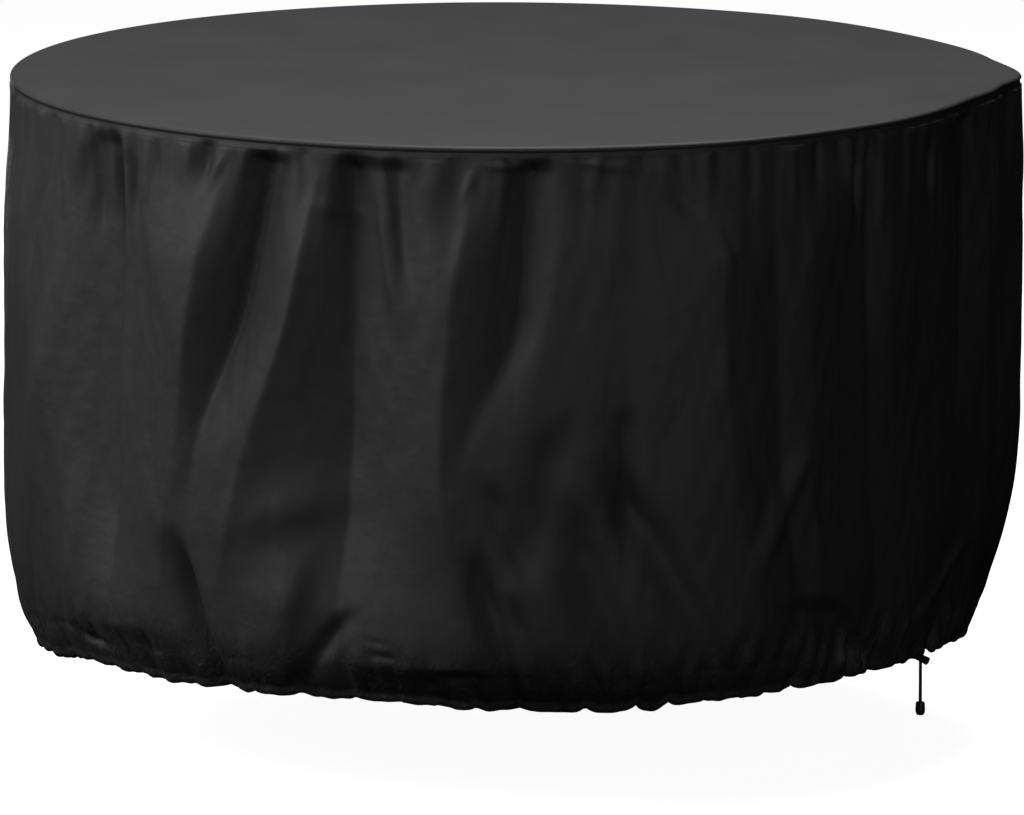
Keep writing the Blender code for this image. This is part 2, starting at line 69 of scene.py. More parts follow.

# %% [markdown]
# ## The folds as tables
# Cloth that hangs from a round rim has more width than it needs, and the spare
# width falls into folds. A fold is told by its crest and by the valley to its
# right, at four drops; a smooth curve joins the four. Simulated cloth would fall
# into folds of its own, so these are placed where the real cover has them.

# %% Main folds
FOLDS = (
    # name, crest at, valley at (degrees), crest out, valley out (mm), roundness
    ("left edge", (-75, -71, -61.5, -58), (-49, -48.8, -49.5, -52), (9, 13, 14, 9), (-4, -13, -9, -1), 0.5),
    ("left Y", (-34.5, -37.6, -40.4, -43.5), (-29.6, -33.1, -38, -40),
     (22, 26, 17, 10), (-36, -35, 8, 12), 0.5),
    ("slanted", (-22.6, -25.4, -31.3, -35), (-18.9, -19, -19.4, -20.5),
     (16, 19, 17, 13), (-30, -34, -36, -16), 0.15),
    ("middle Y", (-4.4, -7.2, -8.2, -4.8), (1.5, 0.5, -6, -2.6), (22, 24, 20, 17), (-22, -20, 16, 14), 0.15),
    ("centre", (6.1, 3.7, -0.4, 2), (14, 13, 12, 12), (2, 4, 14, 9), (4, 4, 2, -2), 0.3),
    ("broad", (22.9, 23.2, 24.9, 29), (30.6, 30.8, 31.6, 35), (18, 20, 17, 12), (5, 4, 1, -3), 0.15),
    ("right wide", (35.7, 35.7, 36, 38), (45.7, 45.8, 46.7, 48), (11, 11, 8, 6), (-8, -8, -9, -16), 0.3),
    ("thin ridge", (49.3, 49.4, 52, 54), (70.4, 70.4, 68, 68), (1, 1, -5, -6), (-12, -12, -9, -8), 0.4),
    ("right stripe", (75.1, 75.3, 75.5, 75.5), (82, 82, 82, 82), (10, 10, 5, 0), (-6, -6, -4, -2), 0.4),
    ("right edge", (90, 90, 90, 90), (99, 99, 99, 99), (4, 4, 2, 1), (-8, -8, -6, -4), 0.5),
    ("back 1", (107, 108, 107, 106), (117, 118, 116, 115), (14, 18, 12, 6), (-22, -26, -16, -8), 0.4),
    ("back 2", (126, 124, 127, 131), (139, 135, 138, 143), (14, 18, 14, 10), (-18, -22, -10, -4), 0.4),
    ("back 3", (151, 154, 150, 148), (163, 166, 168, 162), (16, 18, 14, 8), (-24, -28, -20, -10), 0.3),
    ("back 4", (176, 172, 177, 182), (191, 187, 186, 190), (14, 20, 16, 10), (-16, -18, -14, -8), 0.5),
    ("back 5", (204, 207, 203, 199), (216, 220, 221, 215), (14, 18, 16, 10), (-26, -30, -18, -8), 0.3),
    ("back 6", (231, 228, 232, 236), (243, 240, 242, 246), (16, 18, 12, 8), (-16, -18, -12, -6), 0.5),
    ("back 7", (255, 254, 256, 256), (266, 265, 267, 268), (8, 10, 8, 6), (-8, -8, -4, -2), 0.6),
)
print(len(FOLDS), "main folds")

# %% Arms, slits and pinches
CREASES = (
    # angle (degrees) and drop (m) at both ends, width to the left and right (m), out (mm)
    # name           upper end    lower end    widths        out
    ("strip",        -51.6, 0.04, -51.8, 0.50, 0.060, 0.009, -22),
    ("left arm",     -46.0, 0.00, -44.0, 0.19, 0.018, 0.016, 5),
    ("middle arm",   -16.0, 0.02, -13.0, 0.20, 0.018, 0.016, 7),
    ("middle slit",  -13.4, 0.00, -12.4, 0.17, 0.016, 0.015, -6),
    ("lower patch",  -25.0, 0.54, -29.0, 0.78, 0.050, 0.017, 20),
    ("pinch 1",      -39.4, 0.55, -33.2, 0.80, 0.027, 0.012, -50),
    ("pinch 2",      -19.8, 0.60, -27.0, 0.70, 0.016, 0.014, -20),
    ("J foot",       -2.6,  0.43, 1.2,   0.53, 0.020, 0.014, -8),
    ("K shade",      4.8,   0.36, 1.6,   0.52, 0.034, 0.024, -10),
    ("pinch 3",      -3.4,  0.54, 1.0,   0.74, 0.024, 0.015, -28),
    ("streak 1",     0.0,   0.58, 4.3,   0.70, 0.022, 0.012, -14),
    ("streak 2",     6.8,   0.47, 13.6,  0.69, 0.040, 0.020, -19),
    ("upper streak", 12.7,  0.34, 13.5,  0.47, 0.019, 0.011, -8),
    ("streak 3",     13.2,  0.44, 26.6,  0.70, 0.042, 0.018, -19),
    ("curve ridge",  34.5,  0.41, 29.5,  0.53, 0.020, 0.012, 6),
    ("hollow",       39.5,  0.60, 48.5,  0.68, 0.060, 0.028, -34),
    ("right cross",  56.0,  0.65, 70.0,  0.57, 0.022, 0.022, 7),
    ("back slit 1",  133.0, 0.00, 131.0, 0.18, 0.028, 0.026, 7),
    ("back slit 2",  170.0, 0.00, 168.0, 0.22, 0.026, 0.030, 9),
    ("back slit 3",  210.0, 0.00, 213.0, 0.16, 0.026, 0.028, -8),
    ("back pinch 1", 122.0, 0.50, 118.0, 0.72, 0.030, 0.028, -13),
    ("back pinch 2", 157.0, 0.46, 165.0, 0.72, 0.034, 0.030, -10),
    ("back pinch 3", 194.0, 0.52, 191.0, 0.72, 0.028, 0.030, -14),
    ("back pinch 4", 224.0, 0.48, 232.0, 0.72, 0.032, 0.030, -10),
)
CREASE_OVERRUN, CREASE_FADE = 0.25, 0.45    # shares of its length by which a crease runs on, and fades
print(len(CREASES), "creases over them")

# %% Puckers and crumples, listed one by one
WRINKLES = (
    # angle (degrees), drop (m), lean (degrees), half length, width left and right, out (mm)
    # name             angle  drop   lean half left right out
    ("corner light",   -58.0, 0.045, 0,   36,  12,  5,    5.5),
    ("corner slat",    -53.3, 0.060, -4,  46,  7,   5,    5.0),
    ("corner ridge",   -49.5, 0.070, 3,   70,  5,   7,    6.0),
    ("corner thin",    -45.7, 0.060, 0,   36,  5,   4,    4.5),
    ("corner broad",   -39.4, 0.030, -8,  26,  20,  6,    5.0),
    ("left sliver",    -35.2, 0.040, -27, 26,  6,   5,    5.0),
    ("hollow top",     -20.5, 0.080, 68,  24,  13,  6,    5.0),
    ("cross band",     -25.5, 0.460, 110, 80,  30,  30,   8.0),
    ("long arm",       -15.0, 0.140, 10,  80,  4,   7,    4.0),
    ("short streak",   -15.0, 0.037, 12,  24,  4,   4,    3.0),
    ("thin streak",    -12.4, 0.056, 4,   36,  3,   5,    3.0),
    ("long slit",      -13.4, 0.104, 8,   60,  6,   5,    -4.5),
    ("broad light",    -8.7,  0.040, 0,   32,  22,  8,    5.0),
    ("middle sliver",  -5.2,  0.042, -22, 20,  5,   5,    5.0),
    ("hollow lip",     -1.0,  0.022, 88,  24,  5,   4,    4.0),
    ("ridge nick",     1.9,   0.024, 15,  13,  4,   4,    -4.0),
    ("first dimple",   7.6,   0.070, 35,  26,  14,  12,   -4.5),
    ("second dimple",  19.0,  0.070, 48,  30,  14,  12,   -4.5),
    ("seam light",     9.5,   0.022, 80,  40,  6,   8,    3.0),
    ("broad nick",     24.0,  0.141, 24,  16,  10,  5,    4.0),
    ("right slat 1",   33.5,  0.045, 0,   44,  9,   4,    5.0),
    ("right slat 2",   37.0,  0.036, 6,   16,  6,   4,    3.0),
    ("right slat 3",   42.5,  0.050, 4,   40,  9,   4,    5.0),
    ("right slat 4",   45.0,  0.036, 10,  20,  4,   4,    2.5),
    ("thin upper",     48.0,  0.060, 0,   60,  6,   6,    4.0),
    ("right slat 5",   53.0,  0.060, 2,   60,  9,   5,    5.0),
    ("right slat 6",   62.0,  0.070, 2,   70,  10,  6,    5.0),
    ("left slot 1",    -73.7, 0.160, -4,  110, 8,   6,    -9.0),
    ("left slot 2",    -55.7, 0.080, 3,   62,  8,   5,    -9.0),
    ("left slot 3",    -51.7, 0.115, 2,   62,  8,   5,    -9.0),
    ("left slot 4",    -48.0, 0.072, 2,   46,  8,   5,    -8.0),
    ("left slot 5",    -44.1, 0.045, 0,   26,  5,   4,    -6.0),
    ("left slot 6",    -37.3, 0.040, -12, 26,  12,  7,    -8.0),
    ("right slot 1",   37.1,  0.034, 0,   24,  7,   5,    -6.0),
    ("right slot 2",   43.9,  0.062, 0,   46,  9,   6,    -9.0),
    ("right slot 3",   58.9,  0.070, 0,   50,  9,   6,    -9.0),
    ("right slot 4",   76.8,  0.095, 0,   80,  9,   6,    -8.0),
    ("left wrinkle",   -56.5, 0.664, 80,  34,  6,   6,    -7.0),
    ("edge fold",      -64.5, 0.340, -14, 170, 24,  40,   12.0),
    ("edge wedge",     -67.5, 0.150, -14, 100, 28,  8,    -10.0),
    ("edge foot",      -59.0, 0.560, -6,  90,  8,   24,   5.0),
    ("corner dark",    -71.0, 0.620, -14, 70,  30,  10,   -9.0),
    ("left slit 1",    -58.4, 0.655, 0,   14,  5,   4,    -6.0),
    ("left slit 2",    -56.0, 0.651, 4,   14,  5,   4,    -6.5),
    ("left slit 3",    -45.7, 0.658, 5,   16,  5,   4,    -6.0),
    ("left slit 4",    -50.5, 0.662, -4,  16,  6,   4,    -6.0),
    ("band wrinkle 1", -14.8, 0.640, 84,  16,  4,   4,    -5.0),
    ("band wrinkle 2", -15.6, 0.622, 78,  12,  3,   3,    -3.0),
    ("band end",       -6.8,  0.660, 88,  22,  8,   4,    -7.0),
    ("front swell",    -10.5, 0.652, 90,  110, 14,  80,   15.0),
    ("left swell",     -50.0, 0.632, 92,  80,  18,  60,   9.0),
    ("hem slit 1",     9.8,   0.680, 20,  16,  5,   3,    -5.0),
    ("hem slit 2",     16.5,  0.680, 16,  14,  5,   3,    -5.0),
    ("hem slit 3",     22.8,  0.672, 8,   16,  5,   3,    -5.0),
    ("hem slit 4",     29.5,  0.670, -10, 14,  4,   4,    -4.0),
    ("hem bump",       44.5,  0.672, -20, 20,  10,  8,    8.0),
)
print(len(WRINKLES), "small ones")

# %% Rim and hem line
RIM_LINE = (
    # angle, outside the circle (mm)
    (-90, 0), (-20, 0), (20, -8), (45, -26), (70, -38), (81, -26), (91, -3), (104, -20), (122, -26),
    (150, -12), (190, 0),
)
HEM_LINE = (
    # angle, above mean (mm)
    (-90, -11), (-73, -4), (-60, 11), (-47, 6), (-30, 6), (-15, 4), (-2, -5), (12, -12),
    (17, -12), (22, -3), (40, 3), (56, 8), (73, 10), (92, -3), (130, -6), (180, 0), (225, 4),
)
print(len(RIM_LINE), "rim and", len(HEM_LINE), "hem rows")

# %% Gathers of the drawn-in hem
FRONT_GATHERS = (
    # angle, depth (mm)
    (-97, 6), (-90, 6), (-84, 5), (-78, 5), (-73.5, 4), (-69, 4), (-64.5, 4), (-59.5, 3), (-55, 4),
    (-50.5, 3), (-46, 3), (-41.5, 3), (-37, 4), (-32, 3), (-26.5, 6), (-19.5, 5), (-14, 3), (-9.2, 6),
    (-4.7, 6), (0.4, 5), (8.6, 11), (15.4, 11), (19.4, 9), (24, 4), (28.5, 4), (32.4, 4), (36.8, 6),
    (41.5, 4), (46.2, 6), (51, 4), (56.4, 5), (60.9, 4), (65.6, 7), (70.3, 4), (74.3, 5), (78.6, 5),
    (84, 6), (90, 5), (97, 6),
)
BACK_STEPS = (7.4, 8.6, 6.8, 8.0, 9.1, 7.1, 7.8, 8.3)
BACK_DEPTH, BACK_SWING, BACK_TURN = 5.0, 2.5, 2.4
BACK_ROOM = 1.5         # the last gather keeps this many steps from the first


def all_gathers():
    """The front gathers, then unevenly spaced ones behind, as rows of angle and depth in metres."""
    rows = list(FRONT_GATHERS)
    last = FRONT_GATHERS[0][0] + 360.0
    count = 0
    while rows[-1][0] + BACK_ROOM * BACK_STEPS[count % len(BACK_STEPS)] < last:
        step = BACK_STEPS[count % len(BACK_STEPS)]
        rows.append((rows[-1][0] + step, BACK_DEPTH + BACK_SWING * math.sin(BACK_TURN * count)))
        count += 1
    return np.array(rows) * (1.0, 0.001)


GATHERS = all_gathers()
print(len(GATHERS), "gathers along the hem")

# %% [markdown]
# ## From tables to a surface
# Every formula below takes whole arrays of angles and drops, so numpy works out
# the cloth in one go. `ease` is the smooth step that starts and ends each change
# gently, as cloth does.

# %% Reading the tables
def ease(x):
    """Smooth step: 3x^2 - 2x^3 between 0 and 1, flat outside."""
    x = np.clip(x, 0.0, 1.0)
    return x * x * (3.0 - 2.0 * x)


def at_level(values, drop):
    """A table entry at any drop: a cubic through its four levels, whose slopes never overshoot."""
    levels = np.asarray(LEVELS)
    values = np.asarray(values, float)
    slope = np.diff(values) / np.diff(levels)
    tangent = np.empty(len(levels))
    tangent[0], tangent[-1] = slope[0], slope[-1]
    for i in range(1, len(levels) - 1):
        before, after = slope[i - 1], slope[i]
        tangent[i] = 0.0 if before * after <= 0 else 2.0 * before * after / (before + after)
    i = np.clip(np.searchsorted(levels, drop) - 1, 0, len(levels) - 2)
    width = levels[i + 1] - levels[i]
    t = np.clip((drop - levels[i]) / width, 0.0, 1.0)
    rise = ease(t)
    return (values[i] * (1.0 - rise) + values[i + 1] * rise
            + width * t * (1.0 - t) * ((1.0 - t) * tangent[i] - t * tangent[i + 1]))


def round_table(rows, angle):
    """A table of (angle, value) rows read all the way round, eased from row to row."""
    at = np.array([row[0] for row in rows] + [rows[0][0] + 360.0], float)
    value = np.array([row[1] for row in rows] + [rows[0][1]], float)
    turned = (angle - at[0]) % 360.0 + at[0]
    i = np.clip(np.searchsorted(at, turned, side="right") - 1, 0, len(rows) - 1)
    t = (turned - at[i]) / (at[i + 1] - at[i])
    return value[i] + (value[i + 1] - value[i]) * ease(t)


def scallop(angle):
    """How full the hem is (0 in a gather, 1 half-way to the next: a half ellipse) and how deep."""
    at = np.append(GATHERS[:, 0], GATHERS[0, 0] + 360.0)
    depth = np.append(GATHERS[:, 1], GATHERS[0, 1])
    turned = (angle - at[0]) % 360.0 + at[0]
    i = np.clip(np.searchsorted(at, turned, side="right") - 1, 0, len(GATHERS) - 1)
    t = (turned - at[i]) / (at[i + 1] - at[i])
    return np.sqrt(np.clip(4.0 * t * (1.0 - t), 0.0, 1.0)), depth[i] + (depth[i + 1] - depth[i]) * t


print("rim, mm outside its circle at 70 degrees:", round_table(RIM_LINE, np.array([70.0])))

# %% Folds and creases as numbers
def main_folds(angle, drop):
    """Height of the cloth over its mean: round crests, sharp valleys, and nearly straight flanks between."""
    places, heights = [], []
    for _, crest_at, valley_at, crest_out, valley_out, _ in FOLDS:
        places += [at_level(crest_at, drop), at_level(valley_at, drop)]
        heights += [at_level(crest_out, drop) / 1000.0, at_level(valley_out, drop) / 1000.0]
    places.append(places[0] + 360.0)
    heights.append(heights[0])
    roundness = [row[5] for row in FOLDS]
    roundness.append(roundness[0])
    turned = (angle - places[0]) % 360.0 + places[0]
    out = np.zeros_like(drop)
    for i in range(len(places) - 1):
        t = (turned - places[i]) / np.maximum(places[i + 1] - places[i], 1e-6)
        from_crest = i % 2 == 0
        bent = 1.0 - np.cos(0.5 * np.pi * t) if from_crest else np.sin(0.5 * np.pi * t)
        blend = t + (bent - t) * roundness[(i + 1) // 2]
        inside = (t >= 0.0) & (t < 1.0)
        out = np.where(inside, heights[i] + (heights[i + 1] - heights[i]) * blend, out)
    return out


def wrinkle(row, angle, drop):
    """A lopsided bell across a short leaning line, exp(-(across/width)^2 - (along/length)^2)."""
    _, at, at_drop, lean, half_length, left, right, height = row
    sideways = np.radians((angle - at + 180.0) % 360.0 - 180.0) * RIM_R
    below = drop - at_drop
    tilt = math.radians(lean)
    along = (sideways * math.sin(tilt) + below * math.cos(tilt)) * 1000.0 / half_length
    across = (sideways * math.cos(tilt) - below * math.sin(tilt)) * 1000.0
    across /= np.where(across < 0.0, left, right)
    return height / 1000.0 * np.exp(-across ** 2 - along ** 2)


def crease(row, angle, drop):
    """A lopsided bell exp(-(distance/width)^2) across a slanted line, fading at both ends."""
    _, angle_0, drop_0, angle_1, drop_1, left, right, height = row
    along = np.clip((drop - drop_0) / (drop_1 - drop_0), -1.0, 2.0)
    across = (angle - (angle_0 + (angle_1 - angle_0) * along) + 180.0) % 360.0 - 180.0
    across = np.radians(across) * RIM_R
    bell = np.exp(-(across / np.where(across < 0.0, left, right)) ** 2)
    top, foot = min(drop_0, drop_1), max(drop_0, drop_1)
    overrun = CREASE_OVERRUN * (foot - top)
    fade = CREASE_FADE * (foot - top)
    fade_in = ease((drop - top + overrun) / fade)
    fade_out = ease((foot - drop + overrun) / fade)
    return height / 1000.0 * bell * fade_in * fade_out


front = main_folds(np.linspace(-90.0, 90.0, 361), np.full(361, LEVELS[1]))
print(f"in front the folds reach from {front.min() * 1000:.0f} to {front.max() * 1000:.0f} mm")

# %% [markdown]
# ## Small unevenness
# Between the folds the cloth is never quite smooth. Under the rim seam the strip
# is eased in, which leaves short upright puckers, and above the hem each gather
# sends up a few fine ones. They are drawn from a seeded series, so they fall in
# the same places each run.

# %% Puckers under the seam and over the hem
def bells(angle, along, rows):
    """Sum of soft ridges: exp(-(across/width)^2) fading as exp(-(along/length)^2), one for each row."""
    out = np.zeros_like(angle)
    for at, width, length, height, lean in rows:
        across = (angle - at + 180.0) % 360.0 - 180.0
        across = np.radians(across) * RIM_R - lean * along
        near = np.abs(across) < 3.0 * width
        ridge = height * np.exp(-(across[near] / width) ** 2 - (along[near] / length) ** 2)
        out[near] += ridge
    return out


PUCKER_STRAY = 0.4      # share of a step by which a pucker may leave its even place
PUCKER_LEAN = 0.12      # most that one leans to a side


def pucker_rows(seed, step, widths, lengths, height):
    """Rows for bells(): one about every `step` degrees, its sizes drawn evenly from the ranges."""
    draw = np.random.default_rng(seed)
    count = int(math.ceil(360.0 / step))
    at = np.arange(0.0, 360.0, step) + draw.uniform(-PUCKER_STRAY, PUCKER_STRAY, count) * step
    return [(a, draw.uniform(*widths), draw.uniform(*lengths), height * draw.uniform(-1.0, 1.0),
             draw.uniform(-PUCKER_LEAN, PUCKER_LEAN)) for a in at]


SEAM_PUCKERS = (pucker_rows(11, 1.7, (0.005, 0.009), (0.02, 0.075), 0.0034)
                + pucker_rows(13, 5.3, (0.010, 0.018), (0.06, 0.16), 0.0032))
HEM_PUCKERS = pucker_rows(23, 1.5, (0.0045, 0.0085), (0.018, 0.055), 0.0038)

# Sets of ripples: seed, fewest and most waves round the cover, rise (m).
BROAD_SWELLS = (3, 9, 26, 0.0014)
FAINT_SWELLS = (43, 50, 130, 0.0004)
HEM_WAVER = (41, 60, 170, 0.0007)         # the hem's edge, on top of its gathers
CASING_CRUMPLES = (31, 40, 110, 0.0028)   # the doubled cloth of the casing
STITCH_TENSION = (37, 8, 30, 2.0)         # no rise: it tells where the stitches pull hard
TOP_SWELLS = (5, 3, 9, 0.0004)
WAVES, WAVE_SLANT = 12, 0.6


def ripples(angle, drop, seed, low, high, rise):
    """Gentle unevenness: twelve sine waves of whole turns round the cover, each at its own slant."""
    draw = np.random.default_rng(seed)
    out = np.zeros_like(angle)
    for _ in range(WAVES):
        turns = draw.integers(low, high)
        down = draw.uniform(-WAVE_SLANT, WAVE_SLANT) * turns / RIM_R
        out += np.sin(np.radians(angle) * turns + down * drop + draw.uniform(0.0, 2.0 * math.pi))
    return rise * out / math.sqrt(WAVES)


print(len(SEAM_PUCKERS), "puckers at the seam,", len(HEM_PUCKERS), "over the hem")

# %% [markdown]
# ## The skirt
# One strip of cloth, 4.3 m long. A cloth simulation could drape it, but the folds
# would not come out where the tables have them. So its surface is a function of
# the angle and of a share of its height, 0 at the seam and 1 where the hem rolls
# under. Below that the rows go round the roll and up inside, as the turned-under
# casing does. The function is a sum: a plain line, the folds, then small relief.

# %% The strip's plain line, from the rim to the drawn-in hem
FLARE, FLARE_LEFT = 0.0038, 0.0038            # how much it widens, and how much more at the left
FLARE_DROP = 0.25
DRAW_START, DRAW_START_LEFT = 0.455, 0.045    # drop where the cord's pull begins, later at the left
DRAW_BEND, DRAW_BEND_LEFT = 2.5, 0.2          # power of the curve by which it turns in
DRAW_BEND_FRONT, FRONT_FADE = 4.0, 1.5        # in front it hangs straighter and turns in late
DRAWN_LIMIT = 1.05                            # where the hem hangs low, the pull goes on
HEM_R, HEM_SHIFT = 0.590, 0.020               # the drawn hem's radius, and its shift to the left


def rim_radius(angle):
    """Circle plus the rim table: the rim is pulled a little flatter on the right."""
    return RIM_R + round_table(RIM_LINE, angle) / 1000.0


def plain_radius(angle, drop):
    """Rim + flare - a power of how far the hem is drawn; also that share, 0 to about 1."""
    turn = np.radians(angle)
    right = np.sin(turn)
    hang = rim_radius(angle) + (FLARE - FLARE_LEFT * right) * ease(drop / FLARE_DROP)
    start = DRAW_START - DRAW_START_LEFT * right
    drawn = np.clip((drop - start) / (COVER_H - ROLL_H - start), 0.0, DRAWN_LIMIT)
    front = np.maximum(np.cos(turn), 0.0) ** FRONT_FADE
    bend = DRAW_BEND - DRAW_BEND_LEFT * right + DRAW_BEND_FRONT * front
    hem_radius = HEM_R - HEM_SHIFT * right
    return hang - (hang - hem_radius) * drawn ** bend, drawn


print("plain radius in front, m:", plain_radius(np.zeros(4), np.array(LEVELS))[0].round(4))

# %% The hem's edge and the folds
CORD_ANGLE = 65.6       # where the drawstring leaves the hem, in a gather
CORD_NOTCH = 0.008      # the hem stays lifted this far to each side of it
SEAM_BAND = 0.0028      # upright strip under the rim seam, without folds
CREST_RAMP, VALLEY_RAMP = 0.16, 0.026   # drops over which a crest and a valley grow from the seam
RAMP_BLEND = 0.02       # heights over which one ramp turns into the other
HEM_FOLD_LOSS = 0.55    # share of a fold's height that the drawn hem takes away


def hem_edge(angle):
    """Lower edge = mean + hem table + lift in the gathers; also the gathers' fullness and depth."""
    full, depth = scallop(angle)
    beside_cord = np.radians((angle - CORD_ANGLE + 180.0) % 360.0 - 180.0) * RIM_R
    full = full * (1.0 - np.exp(-(beside_cord / CORD_NOTCH) ** 2))
    lower_edge = -COVER_H + round_table(HEM_LINE, angle) / 1000.0 + depth * (1.0 - full)
    return lower_edge + ripples(angle, np.zeros_like(angle), *HEM_WAVER), full, depth


def fold_height(angle, drop, drawn):
    """Main folds + creases + swells, which grow from the seam down and flatten in the drawn hem."""
    folds = main_folds(angle, drop)
    for row in CREASES:
        folds = folds + crease(row, angle, drop)
    folds += ripples(angle, drop, *BROAD_SWELLS) + ripples(angle, drop, *FAINT_SWELLS)
    ramp = VALLEY_RAMP + (CREST_RAMP - VALLEY_RAMP) * ease(0.5 + folds / RAMP_BLEND)
    folds *= ease((drop + SEAM_Z - SEAM_BAND) / ramp)
    return folds * (1.0 - HEM_FOLD_LOSS * np.clip(drawn, 0.0, 1.0))


print("hem's lower edge in front, m:", hem_edge(np.zeros(1))[0].round(4))

# %% Small relief and the whole strip
PUFF_H = 0.085          # the cloth puffs out between the gathers, up to this height over the foot
PUFF_SHARE = 0.4        # share of a gather's depth that lies outside the plain line
PUCKER_START, WRINKLE_START = 0.006, 0.008    # drops over which they rise under the seam
CASING_H = 0.046        # height of the casing's stitch line above the lower edge
STITCH_PULL = 0.0012    # the stitch line pulls the cloth in this much, where it pulls hardest
STITCH_BAND = 0.004     # and this far up and down
SEAM_GROOVE = 0.0024    # the rim seam lies this deep between the top's edge and the skirt
GROOVE_H = 0.0035
JOIN_ANGLE = -13.6      # where the casing's two ends are lapped and sewn
JOIN_LAP = 0.0018       # the lap stands out this much
JOIN_STEP, JOIN_FADE, JOIN_REACH = 0.0015, 0.018, 0.1    # it rises, sinks and ends over these widths


def small_relief(angle, z, lower_edge):
    """Puckers, listed wrinkles, casing crumples, the pull of the stitches, groove and lap."""
    drop, over_edge = -z, z - lower_edge
    below_seam = np.maximum(SEAM_Z - SEAM_BAND - z, 0.0)
    small = bells(angle, below_seam, SEAM_PUCKERS) * ease(below_seam / PUCKER_START)
    small += bells(angle, z - (lower_edge + ROLL_H), HEM_PUCKERS)
    wrinkles = sum(wrinkle(row, angle, drop) for row in WRINKLES)
    small += wrinkles * ease(below_seam / WRINKLE_START)
    small += ripples(angle, drop, *CASING_CRUMPLES) * ease(2.0 - over_edge / CASING_H)
    pull = STITCH_PULL * (0.5 + 0.5 * np.tanh(ripples(angle, drop, *STITCH_TENSION)))
    small -= pull * np.exp(-((over_edge - CASING_H) / STITCH_BAND) ** 2)
    small -= SEAM_GROOVE * np.exp(-(below_seam / GROOVE_H) ** 2)
    past_join = np.radians(angle - JOIN_ANGLE) * RIM_R
    lap = ease(past_join / JOIN_STEP) * np.exp(-np.maximum(past_join, 0.0) / JOIN_FADE)
    lap = lap * (np.abs(past_join) < JOIN_REACH)
    return small + JOIN_LAP * lap * ease((CASING_H - over_edge) / STITCH_BAND)


def skirt_point(angle, share):
    """Radius, height and hem level of the outer face: plain line + folds + puffs + small relief."""
    lower_edge, full, depth = hem_edge(angle)
    foot = lower_edge + ROLL_H
    z = SEAM_Z + (foot - SEAM_Z) * share
    radius, drawn = plain_radius(angle, -z)
    folds = fold_height(angle, -z, drawn)
    puff = ease(1.0 - (z - foot) / PUFF_H) * (full - 1.0 + PUFF_SHARE) * depth
    return radius + folds + puff + small_relief(angle, z, lower_edge), z, lower_edge


print("foot of the strip in front, m:", skirt_point(np.zeros(1), np.ones(1))[0].round(4))


# %% [markdown]
# ## From a grid to a piece
# Blender could build a mesh face by face. Here whole arrays of corners go into it
# at once, which is fast and keeps the rows and columns in order for the UV map.

# %% Mesh helpers
def surface(name, points, uv=None, poles=()):
    """A mesh on a grid of points [row, column, xyz], closed round; its UV map holds metres of cloth.

    Rows run down and columns to the right, seen from outside. `poles` may name "first" and
    "last": that row is then closed by a fan of triangles round its middle.
    """
    rows, columns = points.shape[:2]
    row, column = np.meshgrid(np.arange(rows - 1), np.arange(columns), indexing="ij")
    beside = (column + 1) % columns
    quads = np.stack([row * columns + column, (row + 1) * columns + column,
                      (row + 1) * columns + beside, row * columns + beside], axis=-1).reshape(-1, 4)
    places = points.reshape(-1, 3)
    around = np.arange(columns)
    turned_on = (around + 1) % columns
    fans = []
    for pole, ring in (("first", points[0]), ("last", points[-1])):
        if pole in poles:
            middle = np.full(columns, len(places))
            places = np.concatenate([places, ring.mean(axis=0, keepdims=True)])
            foot = (rows - 1) * columns
            fans.append(np.stack([middle, around, turned_on] if pole == "first"
                                 else [foot + around, middle, foot + turned_on], axis=-1))
    corners = np.concatenate([quads.reshape(-1)] + [fan.reshape(-1) for fan in fans])
    starts = np.arange(0, quads.size, 4)
    if fans:
        starts = np.concatenate([starts, np.arange(quads.size, len(corners), 3)])
    mesh = bpy.data.meshes.new(name)
    mesh.vertices.add(len(places))
    mesh.vertices.foreach_set("co", places.reshape(-1).astype(np.float32))
    mesh.loops.add(len(corners))
    mesh.loops.foreach_set("vertex_index", corners.astype(np.int32))
    mesh.polygons.add(len(starts))
    mesh.polygons.foreach_set("loop_start", starts.astype(np.int32))
    mesh.update(calc_edges=True)
    mesh.validate()
    if uv is not None:
        u = np.stack([uv[row, column], uv[row + 1, column],
                      uv[row + 1, column + 1], uv[row, column + 1]], axis=2)
        flat_uv = np.concatenate([u.reshape(-1)] + [places[fan.reshape(-1), :2].reshape(-1) for fan in fans])
        layer = mesh.uv_layers.new(name="cloth")
        layer.data.foreach_set("uv", flat_uv.astype(np.float32))
    mesh.shade_smooth()
    return mesh


def piece(name, mesh, material):
    """A finished piece: an object at the origin that rides on the one body and names its finish."""
    obj = bpy.data.objects.new(name, mesh)
    bpy.context.scene.collection.objects.link(obj)
    mesh.materials.append(material)
    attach(obj, "root")
    mesh.calc_loop_triangles()
    print(f"{name}: {len(mesh.vertices)} points, {len(mesh.loop_triangles)} triangles")
    return obj


# %% [markdown]
# ## Materials
# A shader is a sum. The small class below wraps a socket, so that an expression
# such as `1 - mask` adds the Math nodes for it.

# %% Shader maths
class Wire:
    """A value that flows through a material. Arithmetic on it adds Math nodes."""

    def __init__(self, shade, socket):
        self.shade, self.socket = shade, socket

    def math(self, operation, first, second=0.0):
        return self.shade.node("ShaderNodeMath", {0: first, 1: second}, operation=operation)

    def __add__(self, other):
        return self.math("ADD", self, other)

    def __sub__(self, other):
        return self.math("SUBTRACT", self, other)

    def __rsub__(self, other):
        return self.math("SUBTRACT", other, self)

    def __mul__(self, other):
        return self.math("MULTIPLY", self, other)

    def __truediv__(self, other):
        return self.math("DIVIDE", self, other)

    def floor(self):
        return self.math("FLOOR", self)

    def odd(self):
        return self.math("FLOORED_MODULO", self, 2.0)

    def hump(self):
        """|sin(pi x)|: one round thread for each whole number."""
        return self.math("ABSOLUTE", self.math("SINE", self * math.pi))

    __radd__ = __add__
    __rmul__ = __mul__


